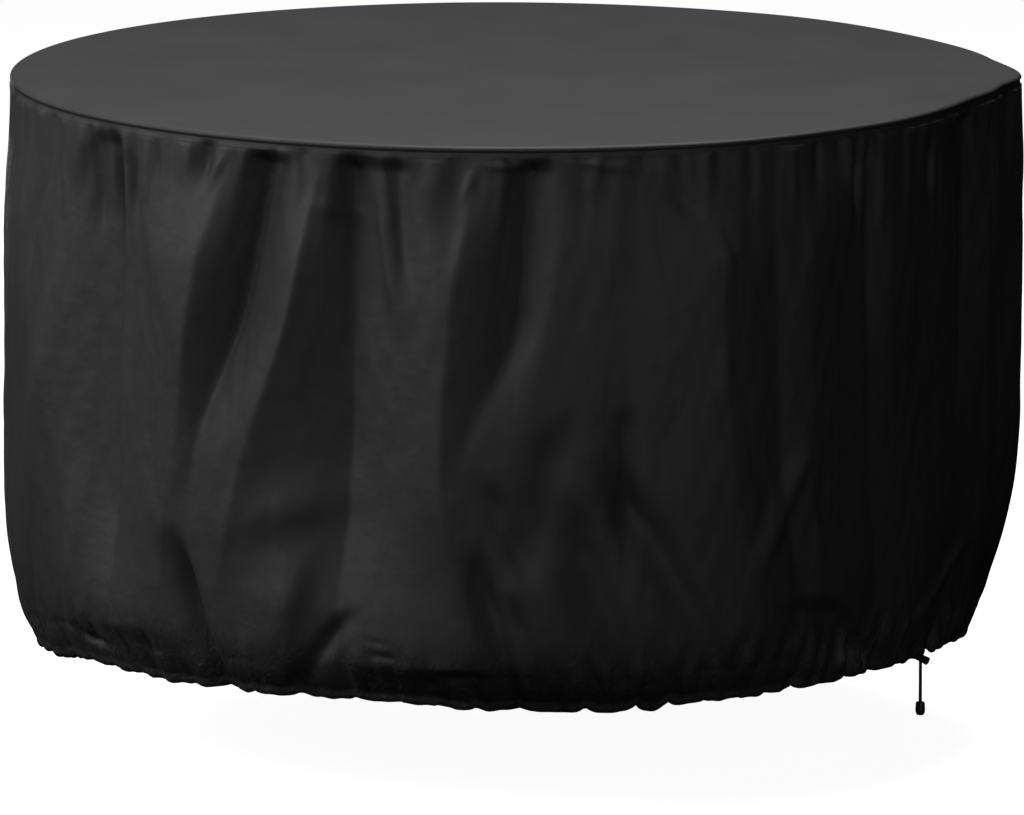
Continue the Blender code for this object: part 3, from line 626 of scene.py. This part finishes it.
class Shade:
    """One material with its Principled shader, and a single method that adds any other node."""

    def __init__(self, name, roughness):
        self.material = bpy.data.materials.new(name)
        self.material.use_nodes = True
        self.tree = self.material.node_tree
        self.shader = self.tree.nodes["Principled BSDF"]
        self.shader.inputs["Roughness"].default_value = roughness

    def node(self, kind, sockets, output=0, **settings):
        made = self.tree.nodes.new(kind)
        for key, value in settings.items():
            setattr(made, key, value)
        for key, value in sockets.items():
            self.set(made.inputs[key], value)
        return Wire(self, made.outputs[output])

    def noise(self, vector, **sockets):
        """A cloudy value from 0 to 1."""
        return self.node("ShaderNodeTexNoise", {"Vector": vector, **sockets})

    def set(self, socket, value):
        if isinstance(value, Wire):
            self.tree.links.new(value.socket, socket)
        else:
            socket.default_value = value

    def finish(self, **sockets):
        """Set or link the shader's own sockets; an underscore in a name stands for a blank."""
        for key, value in sockets.items():
            self.set(self.shader.inputs[key.replace("_", " ")], value)
        return self.material


# %% [markdown]
# ### The cloth
# Coated polyester in a plain weave: threads 0.7 mm apart, which go over and under
# each other like a chessboard. An image could show this, but formulas stay sharp
# at any distance. The weave follows the cloth's own UV map, in metres. Broad,
# faint clouds of tone and gloss keep it from looking like plastic.

# %% Cloth
THREAD = 0.0007         # pitch of the weave
THREAD_RELIEF = 0.00006
CLOTH_DARK = (0.0225, 0.0225, 0.023, 1.0)
CLOTH_PALE = (0.0295, 0.0295, 0.030, 1.0)
CASING_TOP, CASING_FULL = -0.60, -0.68    # on the skirt's UV map the casing's crumples fade in here
ROUGH, ROUGH_CLOUDS, ROUGH_LINES = 0.50, 0.12, 0.06


def coated_cloth(name, drag, crumple, casing=0.0):
    """Weave, broad clouds, upright drag lines and fine crumples; the casing's doubled cloth has more."""
    shade = Shade(name, 0.56)
    uv = shade.node("ShaderNodeUVMap", {}, uv_map="cloth")
    across = shade.node("ShaderNodeSeparateXYZ", {0: uv}, output=0)
    down = shade.node("ShaderNodeSeparateXYZ", {0: uv}, output=1)
    warp, weft = across / THREAD, down / THREAD
    over = (warp.floor() + weft.floor()).odd()
    weave = over * warp.hump() + (1.0 - over) * weft.hump()
    place = shade.node("ShaderNodeTexCoord", {}, output="Object")
    clouds = shade.noise(place, Scale=6.0, Detail=4.0)
    fine = shade.noise(place, Scale=36.0, Detail=2.5)
    long_uv = shade.node("ShaderNodeMapping", {"Vector": uv, "Scale": (15.0, 5.0, 1.0)})
    lines = shade.noise(long_uv, Scale=1.0, Detail=2.0, Distortion=0.6)
    short_uv = shade.node("ShaderNodeMapping", {"Vector": uv, "Scale": (120.0, 55.0, 1.0)})
    crush = shade.noise(short_uv, Scale=1.0, Detail=3.0, Distortion=0.9)
    doubled = shade.node("ShaderNodeMapRange", {"Value": down, "From Min": CASING_TOP,
                                                "From Max": CASING_FULL, "To Min": 0.0, "To Max": casing})
    tone = shade.node("ShaderNodeMix", {0: clouds, 6: CLOTH_DARK, 7: CLOTH_PALE}, output=2, data_type="RGBA")
    height = weave * THREAD_RELIEF + fine * crumple + lines * drag + crush * doubled
    bump = shade.node("ShaderNodeBump", {"Height": height, "Distance": 1.0, "Strength": 1.0})
    gloss = ROUGH + clouds * ROUGH_CLOUDS + lines * ROUGH_LINES
    return shade.finish(Base_Color=tone, Roughness=gloss, Normal=bump, Specular_IOR_Level=0.42)


TOP_CLOTH = coated_cloth("coated cloth, top", 0.0, 0.0006)
CLOTH = coated_cloth("coated cloth, skirt", 0.0050, 0.0016, 0.0035)
print("cloth:", len(CLOTH.node_tree.nodes), "nodes")

# %% [markdown]
# ### Thread, cord and plastic
# All three are near black, and only their gloss tells them apart: matt thread, a
# soft cord, and moulded plastic with a satin face. One function with a fine grain
# serves them all, since stitches and braid are real geometry.

# %% Thread, cord and plastic
PALE_SPOT = 1.5         # the grain's pale spots against its dark ones
GRAIN_ROUGH = 0.12      # the grain's swing in roughness


def plain_finish(name, color, roughness, grain_scale, grain_height):
    """A dark finish with a fine grain: noise on Object coordinates drives tone, gloss and bump."""
    shade = Shade(name, roughness)
    place = shade.node("ShaderNodeTexCoord", {}, output="Object")
    grain = shade.noise(place, Scale=grain_scale, Detail=3.0)
    pale = tuple(PALE_SPOT * c for c in color) + (1.0,)
    tone = shade.node("ShaderNodeMix", {0: grain, 6: (*color, 1.0), 7: pale}, output=2, data_type="RGBA")
    bump = shade.node("ShaderNodeBump", {"Height": grain * grain_height, "Distance": 1.0, "Strength": 0.5})
    rough = roughness - GRAIN_ROUGH / 2.0 + grain * GRAIN_ROUGH
    return shade.finish(Base_Color=tone, Roughness=rough, Normal=bump)


THREAD_FINISH = plain_finish("thread", (0.012, 0.012, 0.012), 0.80, 900.0, 0.0001)
CORD_FINISH = plain_finish("braided cord", (0.010, 0.010, 0.010), 0.62, 1500.0, 0.0001)
PLASTIC_FINISH = plain_finish("moulded plastic", (0.009, 0.009, 0.009), 0.38, 420.0, 0.00012)
print("three more finishes")

# %% [markdown]
# ## The skirt's cloth
# The strip is one thin sheet. Its columns are close together in front, where each
# fold is told, and its rows where the seam and the hem need them. The UV map
# unrolls it: metres along the rim, and metres down the cloth.

# %% Skirt
FRONT_STEP = 0.0046     # width of a grid cell in front, behind it is twice as wide
BACK_STEP = 0.0098
FRONT_HALF = 102.0      # degrees to each side that count as the front
SKIRT_STEPS = 128       # cells from the seam to the hem roll
ROW_BIAS = 0.35         # how much closer together they are at both ends
ROLL_STEPS, ROLL_HALF = 9, 0.0085            # rows round the hem's roll, and half its thickness
CASING_ROWS = (0.008, 0.017, 0.026, 0.034)   # heights of the turned-in cloth over the roll
CASING_SLANT = 0.28                          # it leans out, as the skirt over it does


def skirt_angles():
    """Column angles: fine steps in front, wider ones behind."""
    front = np.arange(-FRONT_HALF, FRONT_HALF, math.degrees(FRONT_STEP / RIM_R))
    back = np.arange(FRONT_HALF, 360.0 - FRONT_HALF, math.degrees(BACK_STEP / RIM_R))
    return np.concatenate([front, back])


def skirt_rows():
    """Shares of the height: even, but closer together at the seam and over the hem."""
    t = np.linspace(0.0, 1.0, SKIRT_STEPS + 1)
    return t - ROW_BIAS / (2.0 * np.pi) * np.sin(2.0 * np.pi * t)


def hem_roll(radius, lower_edge):
    """From the skirt's foot round the roll (a half ellipse) and up inside, to the casing's raw edge."""
    rows = []
    for i in range(1, ROLL_STEPS + 1):
        a = math.pi * i / ROLL_STEPS
        rows.append((radius - ROLL_HALF * (1.0 - math.cos(a)), lower_edge + ROLL_H * (1.0 - math.sin(a))))
    inner_radius = rows[-1][0]
    for up in CASING_ROWS:
        rows.append((inner_radius + up * CASING_SLANT, lower_edge + ROLL_H + up))
    return rows


angle = skirt_angles()
shares = skirt_rows()
grid_angle, grid_share = np.meshgrid(angle, shares)
radius, z, lower_edge = skirt_point(grid_angle, grid_share)
rows = [(radius[i], z[i]) for i in range(len(shares))] + hem_roll(radius[-1], lower_edge[-1])
turn = np.radians(angle)
skirt_grid = np.stack([np.stack([r * np.sin(turn), -r * np.cos(turn), h], axis=1) for r, h in rows])
step_down = np.linalg.norm(np.diff(skirt_grid, axis=0), axis=2).mean(axis=1)
along = np.append(turn, turn[0] + 2.0 * math.pi) * RIM_R
down = np.append(0.0, np.cumsum(step_down))
skirt_uv = np.stack(np.meshgrid(along, -down), axis=-1)
skirt_cloth = piece("skirt_cloth", surface("skirt_cloth", skirt_grid, skirt_uv), CLOTH)
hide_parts("skirt_panel")
print(f"columns {len(angle)}, rows {len(rows)}")

# %% [markdown]
# ## The top
# A round cut of the same cloth, drawn smooth over what it covers. A disc could be
# a single face, but rings of points let it ripple faintly and turn its edge down
# to the seam, so that the rim catches a thin line of light.

# %% Top
TOP_RINGS, TOP_SPOKES = 90, 420
RING_POWER = 0.8        # the rings lie a little closer together towards the rim
FIRST_RING = 0.0004     # radius of the innermost one, round the middle point
FLAT_MARGIN = 0.007     # the flat part ends this far inside the rim
TOP_EDGE = (
    # inside the rim, below the top (m)
    (0.0045, 0.0003), (0.0024, 0.0013), (0.0010, 0.0026), (0.0004, 0.0044), (0.0014, 0.0060),
)
SEAM_GAP = 0.0003       # the last ring ends this far above the skirt's first row
STILL_MIDDLE, STILL_RIM = 0.2, 0.05   # the swells fade out over these radii


def top_surface():
    """Height over a disc: flat with faint swells, then the edge turned down to the seam."""
    spokes = np.arange(TOP_SPOKES) * 360.0 / TOP_SPOKES
    turn = np.radians(spokes)
    rim = rim_radius(spokes)
    flat_r = rim - FLAT_MARGIN
    t = np.linspace(0.0, 1.0, TOP_RINGS) ** RING_POWER
    rings = [(np.maximum(flat_r * share, FIRST_RING), TOP_Z) for share in t]
    rings += [(rim - inside, TOP_Z - below) for inside, below in TOP_EDGE]
    rings.append((rim - SEAM_GROOVE, SEAM_Z + SEAM_GAP))
    grid = []
    for r, h in rings:
        lift = ripples(spokes, r, *TOP_SWELLS) * ease(r / STILL_MIDDLE) * ease((flat_r - r) / STILL_RIM)
        grid.append(np.stack([r * np.sin(turn), -r * np.cos(turn), h + lift], axis=1))
    return np.stack(grid)


top_grid = top_surface()
flat = np.concatenate([top_grid, top_grid[:, :1]], axis=1)[:, :, :2]
top_cloth = piece("top_cloth", surface("top_cloth", top_grid, flat, poles=("first",)), TOP_CLOTH)
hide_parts("top_panel")

# %% [markdown]
# ## Sewing
# Three seams show. A top stitch holds the seam allowance under the rim, a second
# one closes the casing 46 mm above the hem, and a short upright one joins the
# casing's two ends. A stitch is a grain of thread, 3.5 mm from the next. A curve
# with copies along it would do, but here one small closed form of 48 triangles is
# laid along the whole seam by numpy, and each grain sits on the folded cloth.

# %% A row of stitches
STITCH_PITCH = 0.0035
STITCH_R = 0.00032
GRAIN_RINGS = ((-0.42, 0.55), (-0.30, 1.0), (0.30, 1.0), (0.42, 0.55))   # along the pitch, share of radius
GRAIN_TIPS = (-0.49, 0.49)
GRAIN_SIDES = 6
GRAIN_OUT = 0.4         # its axis stands out of the cloth by this share of its radius
HALF_SPAN = 0.4         # its direction is taken over this share of the pitch, both ways


def grain_faces():
    """Corners of one grain's triangles: bands between its rings, then a fan to each tip."""
    rows, sides = len(GRAIN_RINGS), GRAIN_SIDES
    faces = []
    for row in range(rows - 1):
        for k in range(sides):
            here, beside = row * sides + k, row * sides + (k + 1) % sides
            faces += [(here, beside, beside + sides), (here, beside + sides, here + sides)]
    foot = (rows - 1) * sides
    for k in range(sides):
        beside = (k + 1) % sides
        faces += [(rows * sides, beside, k), (rows * sides + 1, foot + k, foot + beside)]
    return np.array(faces)


def stitch_row(name, line, outward):
    """Grains along a line of points: each is a tube with two tips, half sunk in the cloth."""
    step = np.linalg.norm(np.diff(line, axis=0), axis=1)
    length = np.append(0.0, np.cumsum(step))
    count = int(length[-1] / STITCH_PITCH)
    at = (np.arange(count) + 0.5) * STITCH_PITCH

    def on_line(values, where):
        return np.stack([np.interp(where, length, values[:, axis]) for axis in range(3)], axis=-1)

    span = HALF_SPAN * STITCH_PITCH
    ahead = on_line(line, at + span) - on_line(line, at - span)
    ahead /= np.linalg.norm(ahead, axis=1, keepdims=True)
    up = on_line(outward, at)
    up -= (up * ahead).sum(axis=1, keepdims=True) * ahead
    up /= np.linalg.norm(up, axis=1, keepdims=True)
    side = np.cross(up, ahead)
    middle = on_line(line, at)
    turn = np.arange(GRAIN_SIDES) * 2.0 * math.pi / GRAIN_SIDES
    ring = np.cos(turn)[:, None, None] * up + np.sin(turn)[:, None, None] * side
    rings = [middle + along * STITCH_PITCH * ahead + GRAIN_OUT * STITCH_R * up + share * STITCH_R * ring
             for along, share in GRAIN_RINGS]
    tips = [middle + along * STITCH_PITCH * ahead for along in GRAIN_TIPS]
    places = np.concatenate([np.stack(rings).reshape(-1, count, 3), np.stack(tips)])
    corners = (grain_faces()[None] * count + np.arange(count)[:, None, None]).reshape(-1, 3)
    mesh = bpy.data.meshes.new(name)
    mesh.from_pydata(places.reshape(-1, 3), [], corners)
    mesh.shade_smooth()
    return piece(name, mesh, THREAD_FINISH)


# %% The three seams
RIM_STITCH = 0.0075     # the top stitch runs this far below the seam
SEAM_STEP = 0.12        # degrees from point to point of a seam's line
NEAR_ANGLE, NEAR_HEIGHT = 0.15, 0.001     # how far the neighbours lie that tell the way out
JOIN_LOW, JOIN_HIGH = 0.004, 0.003        # the upright seam ends this far inside the casing
JOIN_POINTS = 60
JOIN_BESIDE = 0.35      # degrees from the lap's edge


def skirt_line(angle, height):
    """Points on the skirt at angles and heights, and the way out there: from three nearby points."""
    def at(angle, height):
        lower = hem_edge(angle)[0]
        share = (height - SEAM_Z) / (lower + ROLL_H - SEAM_Z)
        radius, z, _ = skirt_point(angle, share)
        turn = np.radians(angle)
        return np.stack([radius * np.sin(turn), -radius * np.cos(turn), z], axis=-1)

    here = at(angle, height)
    way_out = np.cross(at(angle + NEAR_ANGLE, height) - here, at(angle, height + NEAR_HEIGHT) - here)
    return here, way_out / np.linalg.norm(way_out, axis=1, keepdims=True)


around = np.arange(0.0, 360.01, SEAM_STEP)
hem_level = hem_edge(around)[0]
rim_stitches = stitch_row("rim_stitches", *skirt_line(around, np.full_like(around, SEAM_Z - RIM_STITCH)))
casing_stitches = stitch_row("casing_stitches", *skirt_line(around, hem_level + CASING_H))
upright = np.linspace(JOIN_LOW, CASING_H - JOIN_HIGH, JOIN_POINTS)
join_angle = np.full_like(upright, JOIN_ANGLE + JOIN_BESIDE)
join_stitches = stitch_row("join_stitches", *skirt_line(join_angle, hem_edge(join_angle)[0] + upright))

# %% [markdown]
# ## The drawstring's end
# The cord leaves the hem, runs through the cross hole of its lock and ends in a
# bell-shaped end that keeps it from slipping back. All three stay where the
# solids are. The whole cord from the hem to the bell shows, so its length is the
# real one. A curve with a round bevel would be quicker, but a tube on a grid lets
# the braid stand in relief.

# %% Braided cord
CORD_D = 0.0044
CORD_SIDES, CORD_ROWS = 64, 300
BRAID_STRANDS = 8       # strands that run each way round
BRAID_PITCH = 0.0021    # along the cord from one crossing to the next
BRAID_DEPTH = 0.00042
BRAID_DIP, BRAID_CROWN = 0.45, 0.55     # a strand's height where it dives under, and what its crown adds
tail_low, tail_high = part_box("drawstring_tail")
CORD_MIDDLE = (tail_low + tail_high) / 2.0
CORD_TOP = tail_high.z
CORD_LENGTH = tail_high.z - tail_low.z


def braid(turn, down):
    """Depth of the braid's skin, 0 on the crowns: two families of slanted threads, one over the other."""
    u = BRAID_STRANDS * turn / (2.0 * math.pi)
    one, other = u + down / BRAID_PITCH, u - down / BRAID_PITCH
    over = (np.floor(one) + np.floor(other)) % 2.0
    thread = np.where(over > 0.5, np.abs(np.sin(np.pi * one)), np.abs(np.sin(np.pi * other)))
    crown = np.where(over > 0.5, np.abs(np.sin(np.pi * other)), np.abs(np.sin(np.pi * one)))
    return BRAID_DEPTH * (1.0 - np.sqrt(thread) * (BRAID_DIP + BRAID_CROWN * crown))


def cord_mesh():
    """A tube down the cord's line: radius = half the diameter minus the braid's depth."""
    turn, down = np.meshgrid(np.arange(CORD_SIDES) * 2.0 * math.pi / CORD_SIDES,
                             np.linspace(0.0, CORD_LENGTH, CORD_ROWS))
    radius = CORD_D / 2.0 - braid(turn, down)
    grid = np.stack([CORD_MIDDLE.x + radius * np.sin(turn), CORD_MIDDLE.y - radius * np.cos(turn),
                     CORD_TOP - down], axis=-1)
    return surface("drawstring", grid, poles=("first", "last"))


drawstring = piece("drawstring", cord_mesh(), CORD_FINISH)
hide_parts("drawstring_tail")

# %% [markdown]
# ### Lock and bell
# Both are turned: a profile of radius and height goes round an axis. The Screw
# modifier could do it, but a formula also waves the bell's radius into faint
# upright ribs for the fingers. The lock's axis points outward and droops, and a
# Boolean drills its cross hole.

# %% Turned pieces
POLE_R = 0.0003         # a profile starts and ends this near the axis, and a fan closes it
CORNER_SHARE = 0.45     # a rounded corner takes at most this share of its edges
RIB_FROM = 0.75         # ribs only where the radius is over this share of the widest


def rounded(corners, size, steps=5):
    """A profile whose corners are cut to short parabolas: (1-t)^2 a + 2t(1-t) corner + t^2 b."""
    corners = np.asarray(corners, float)
    out = [corners[0]]
    for before, corner, after in zip(corners, corners[1:], corners[2:]):
        reach_in = min(size, CORNER_SHARE * np.linalg.norm(corner - before))
        reach_out = min(size, CORNER_SHARE * np.linalg.norm(after - corner))
        a = corner + (before - corner) * reach_in / np.linalg.norm(before - corner)
        b = corner + (after - corner) * reach_out / np.linalg.norm(after - corner)
        t = np.linspace(0.0, 1.0, steps + 1)[:, None]
        out.extend((1 - t) ** 2 * a + 2 * t * (1 - t) * corner + t ** 2 * b)
    out.append(corners[-1])
    return np.array(out)


def turned_piece(name, profile, sides, place, ribs=0, rib_depth=0.0):
    """Surface of revolution; ribs wave the radius by a cosine, fading to nothing at both ends."""
    turn, row = np.meshgrid(np.arange(sides) * 2.0 * math.pi / sides, np.arange(len(profile)))
    radius, height = profile[row, 0], profile[row, 1]
    share = (profile[:, 1].max() - height) / np.ptp(profile[:, 1])
    outside = radius > RIB_FROM * profile[:, 0].max()
    radius = radius - rib_depth * (0.5 - 0.5 * np.cos(ribs * turn)) * np.sin(np.pi * share) * outside
    grid = np.stack([radius * np.sin(turn), -radius * np.cos(turn), height], axis=-1)
    mesh = surface(name, grid, poles=("first", "last"))
    mesh.transform(place)
    return mesh


# %% Cord lock
LOCK_D, LOCK_L, LOCK_DROOP = 0.0104, 0.0225, 22.0
LOCK_BORE = 0.0052
LOCK_COLLAR = 0.00035   # the barrel is this much slimmer than its end collars
UPPER_COLLAR, LOWER_COLLAR = (0.0042, 0.0049), (0.0038, 0.0045)   # from its end: full to here, slim from here
LOCK_CORNER, LOCK_SIDES = 0.0012, 64
DRILL_POLE_R, DRILL_SIDES = 0.0002, 40
SHARP_ANGLE = math.radians(40.0)
lock_low, lock_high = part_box("cord_lock")
LOCK_MIDDLE = (lock_low + lock_high) / 2.0


def lock_profile():
    """Radius and height down the barrel, with a collar at each end."""
    rim, half = LOCK_D / 2.0, LOCK_L / 2.0
    slim = rim - LOCK_COLLAR
    return rounded([(POLE_R, half), (rim, half), (rim, half - UPPER_COLLAR[0]),
                    (slim, half - UPPER_COLLAR[1]), (slim, LOWER_COLLAR[1] - half),
                    (rim, LOWER_COLLAR[0] - half), (rim, -half), (POLE_R, -half)], LOCK_CORNER)


def cord_lock():
    """The barrel, drilled across for the cord by a Boolean whose result is kept as the mesh."""
    outward = math.atan2(CORD_MIDDLE.y, CORD_MIDDLE.x)
    place = (Matrix.Translation(LOCK_MIDDLE) @ Matrix.Rotation(outward, 4, "Z")
             @ Matrix.Rotation(math.pi / 2.0 + math.radians(LOCK_DROOP), 4, "Y"))
    barrel = turned_piece("lock_barrel", lock_profile(), LOCK_SIDES, place)
    lock = piece("lock_barrel", barrel, PLASTIC_FINISH)
    hole = np.array([(DRILL_POLE_R, LOCK_D), (LOCK_BORE / 2.0, LOCK_D),
                     (LOCK_BORE / 2.0, -LOCK_D), (DRILL_POLE_R, -LOCK_D)])
    bit = turned_piece("drill", hole, DRILL_SIDES, Matrix.Translation(LOCK_MIDDLE))
    drill = bpy.data.objects.new("drill", bit)
    bpy.context.scene.collection.objects.link(drill)
    cut = lock.modifiers.new("cross hole", "BOOLEAN")
    cut.operation, cut.solver, cut.object = "DIFFERENCE", "EXACT", drill
    drilled = bpy.data.meshes.new_from_object(lock.evaluated_get(bpy.context.evaluated_depsgraph_get()))
    lock.modifiers.clear()
    lock.data = drilled
    bpy.data.objects.remove(drill, do_unlink=True)
    drilled.shade_smooth()
    drilled.set_sharp_from_angle(angle=SHARP_ANGLE)
    return lock


lock_barrel = cord_lock()
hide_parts("cord_lock")

# %% Bell-shaped cord end
END_D, END_L, END_SOCKET = 0.0126, 0.0172, 0.006
SOCKET_PLAY = 0.0002
END_CORNER, CORNER_STEPS = 0.0030, 6
# Its side from the mouth down, in shares of the half width and of the length.
END_SIDE = ((0.72, 0.0), (0.93, 0.08), (0.96, 0.35), (1.0, 0.62), (0.91, 0.83), (0.62, 1.0))
END_SIDES, END_RIBS, END_RIB_DEPTH = 112, 14, 0.00035
end_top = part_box("cord_end")[1].z


def cord_bell():
    """Mouth with the cord's socket, shoulders, widest at two thirds of its length, then a rounded foot."""
    socket = CORD_D / 2.0 + SOCKET_PLAY
    side = [(wide * END_D / 2.0, -down * END_L) for wide, down in END_SIDE]
    profile = rounded([(POLE_R, -END_SOCKET), (socket, -END_SOCKET), (socket, 0.0)] + side
                      + [(POLE_R, -END_L)], END_CORNER, CORNER_STEPS)
    place = Matrix.Translation((CORD_MIDDLE.x, CORD_MIDDLE.y, end_top))
    mesh = turned_piece("end_bell", profile, END_SIDES, place, END_RIBS, END_RIB_DEPTH)
    return piece("end_bell", mesh, PLASTIC_FINISH)


end_bell = cord_bell()
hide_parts("cord_end")

# %% [markdown]
# ## Floor, light and camera
# The floor is pale and glows a little, so that it stays even and white. Neither it
# nor the white world lights the cloth, or its black would turn grey.

# %% Floor
FLOOR_Z, FLOOR_HALF = -0.84, 30.0


def floor():
    """One large pale face that the cloth doesn't mirror."""
    corners = [(-FLOOR_HALF, -FLOOR_HALF, FLOOR_Z), (FLOOR_HALF, -FLOOR_HALF, FLOOR_Z),
               (FLOOR_HALF, FLOOR_HALF, FLOOR_Z), (-FLOOR_HALF, FLOOR_HALF, FLOOR_Z)]
    mesh = bpy.data.meshes.new("floor")
    mesh.from_pydata(corners, [], [(0, 1, 2, 3)])
    shade = Shade("pale floor", 0.9)
    mesh.materials.append(shade.finish(Base_Color=(0.3, 0.3, 0.3, 1.0), Emission_Color=(1.0, 1.0, 1.0, 1.0),
                                       Emission_Strength=0.93))
    obj = bpy.data.objects.new("floor", mesh)
    bpy.context.scene.collection.objects.link(obj)
    obj.visible_diffuse = False
    obj.visible_glossy = False


floor()
print("floor at", FLOOR_Z, "m")

# %% [markdown]
# ### Soft boxes
# Black cloth shows its folds by its sheen alone, so large soft boxes light it. The
# key and a weaker one farther round stand at the left and draw the crests. One
# high up gives the top its even grey, and a low one in front opens the dark
# folds. The last is a low strip behind: it leaves the front and the top as they
# are, and lights the folds at the back.

# %% Lights
LIGHT_AIM = Vector((0.0, 0.0, -0.3))


def soft_light(name, azimuth, elevation, distance, width, height, power):
    """A soft box that looks at the cover from an azimuth (0 front, 90 right) and an elevation."""
    data = bpy.data.lights.new(name, "AREA")
    data.shape = "RECTANGLE"
    data.size, data.size_y, data.energy = width, height, power
    lamp = bpy.data.objects.new(name, data)
    a, e = math.radians(azimuth), math.radians(elevation)
    out = Vector((math.sin(a) * math.cos(e), -math.cos(a) * math.cos(e), math.sin(e)))
    lamp.location = LIGHT_AIM + out * distance
    lamp.rotation_euler = out.to_track_quat("Z", "Y").to_euler()
    lamp.visible_camera = False
    bpy.context.scene.collection.objects.link(lamp)


soft_light("key", -62.0, 24.0, 4.5, 3.0, 1.6, 100.0)
soft_light("side", -109.0, 28.0, 4.5, 1.6, 1.6, 40.0)
soft_light("top", 160.0, 78.0, 4.5, 2.4, 2.4, 205.0)
soft_light("fill", 18.0, 8.0, 5.0, 3.0, 3.0, 36.0)
soft_light("back", 186.0, -2.0, 4.5, 2.4, 0.5, 36.0)

world = bpy.data.worlds.new("white")
bpy.context.scene.world = world
world.use_nodes = True
world.node_tree.nodes["Background"].inputs["Color"].default_value = (1.0, 1.0, 1.0, 1.0)
world.cycles_visibility.diffuse = False
world.cycles_visibility.glossy = False
bpy.context.scene.view_settings.view_transform = "Standard"
print(len(bpy.data.lights), "lights")

# %% [markdown]
# ### Camera
# It stands far away with a long lens and looks down by 9 degrees, so the rim shows
# as a flat ellipse and the sides stay upright. The lens follows from how wide the
# rim is in the picture.

# %% Camera
VIEW_ELEVATION = 9.05
VIEW_DISTANCE = 32.0
VIEW_ROLL = 0.15
VIEW_AIM = Vector((-0.0053, 0.0, -0.4250))
IMAGE_W = 1024.0        # width of the picture in pixels
RIM_PIXELS = 506.5      # half the rim's width in it
SENSOR = 36.0
FAR_CLIP = 200.0

camera = bpy.data.objects.new("camera", bpy.data.cameras.new("camera"))
bpy.context.scene.collection.objects.link(camera)
elevation = math.radians(VIEW_ELEVATION)
back = Vector((0.0, -math.cos(elevation), math.sin(elevation)))
turned = back.to_track_quat("Z", "Y").to_matrix() @ Matrix.Rotation(math.radians(VIEW_ROLL), 3, "Z")
camera.matrix_world = Matrix.Translation(VIEW_AIM + back * VIEW_DISTANCE) @ turned.to_4x4()
camera.data.sensor_width = SENSOR
camera.data.lens = RIM_PIXELS / RIM_R * VIEW_DISTANCE / IMAGE_W * SENSOR
camera.data.clip_end = FAR_CLIP
bpy.context.scene.camera = camera
print(f"lens {camera.data.lens:.0f} mm")
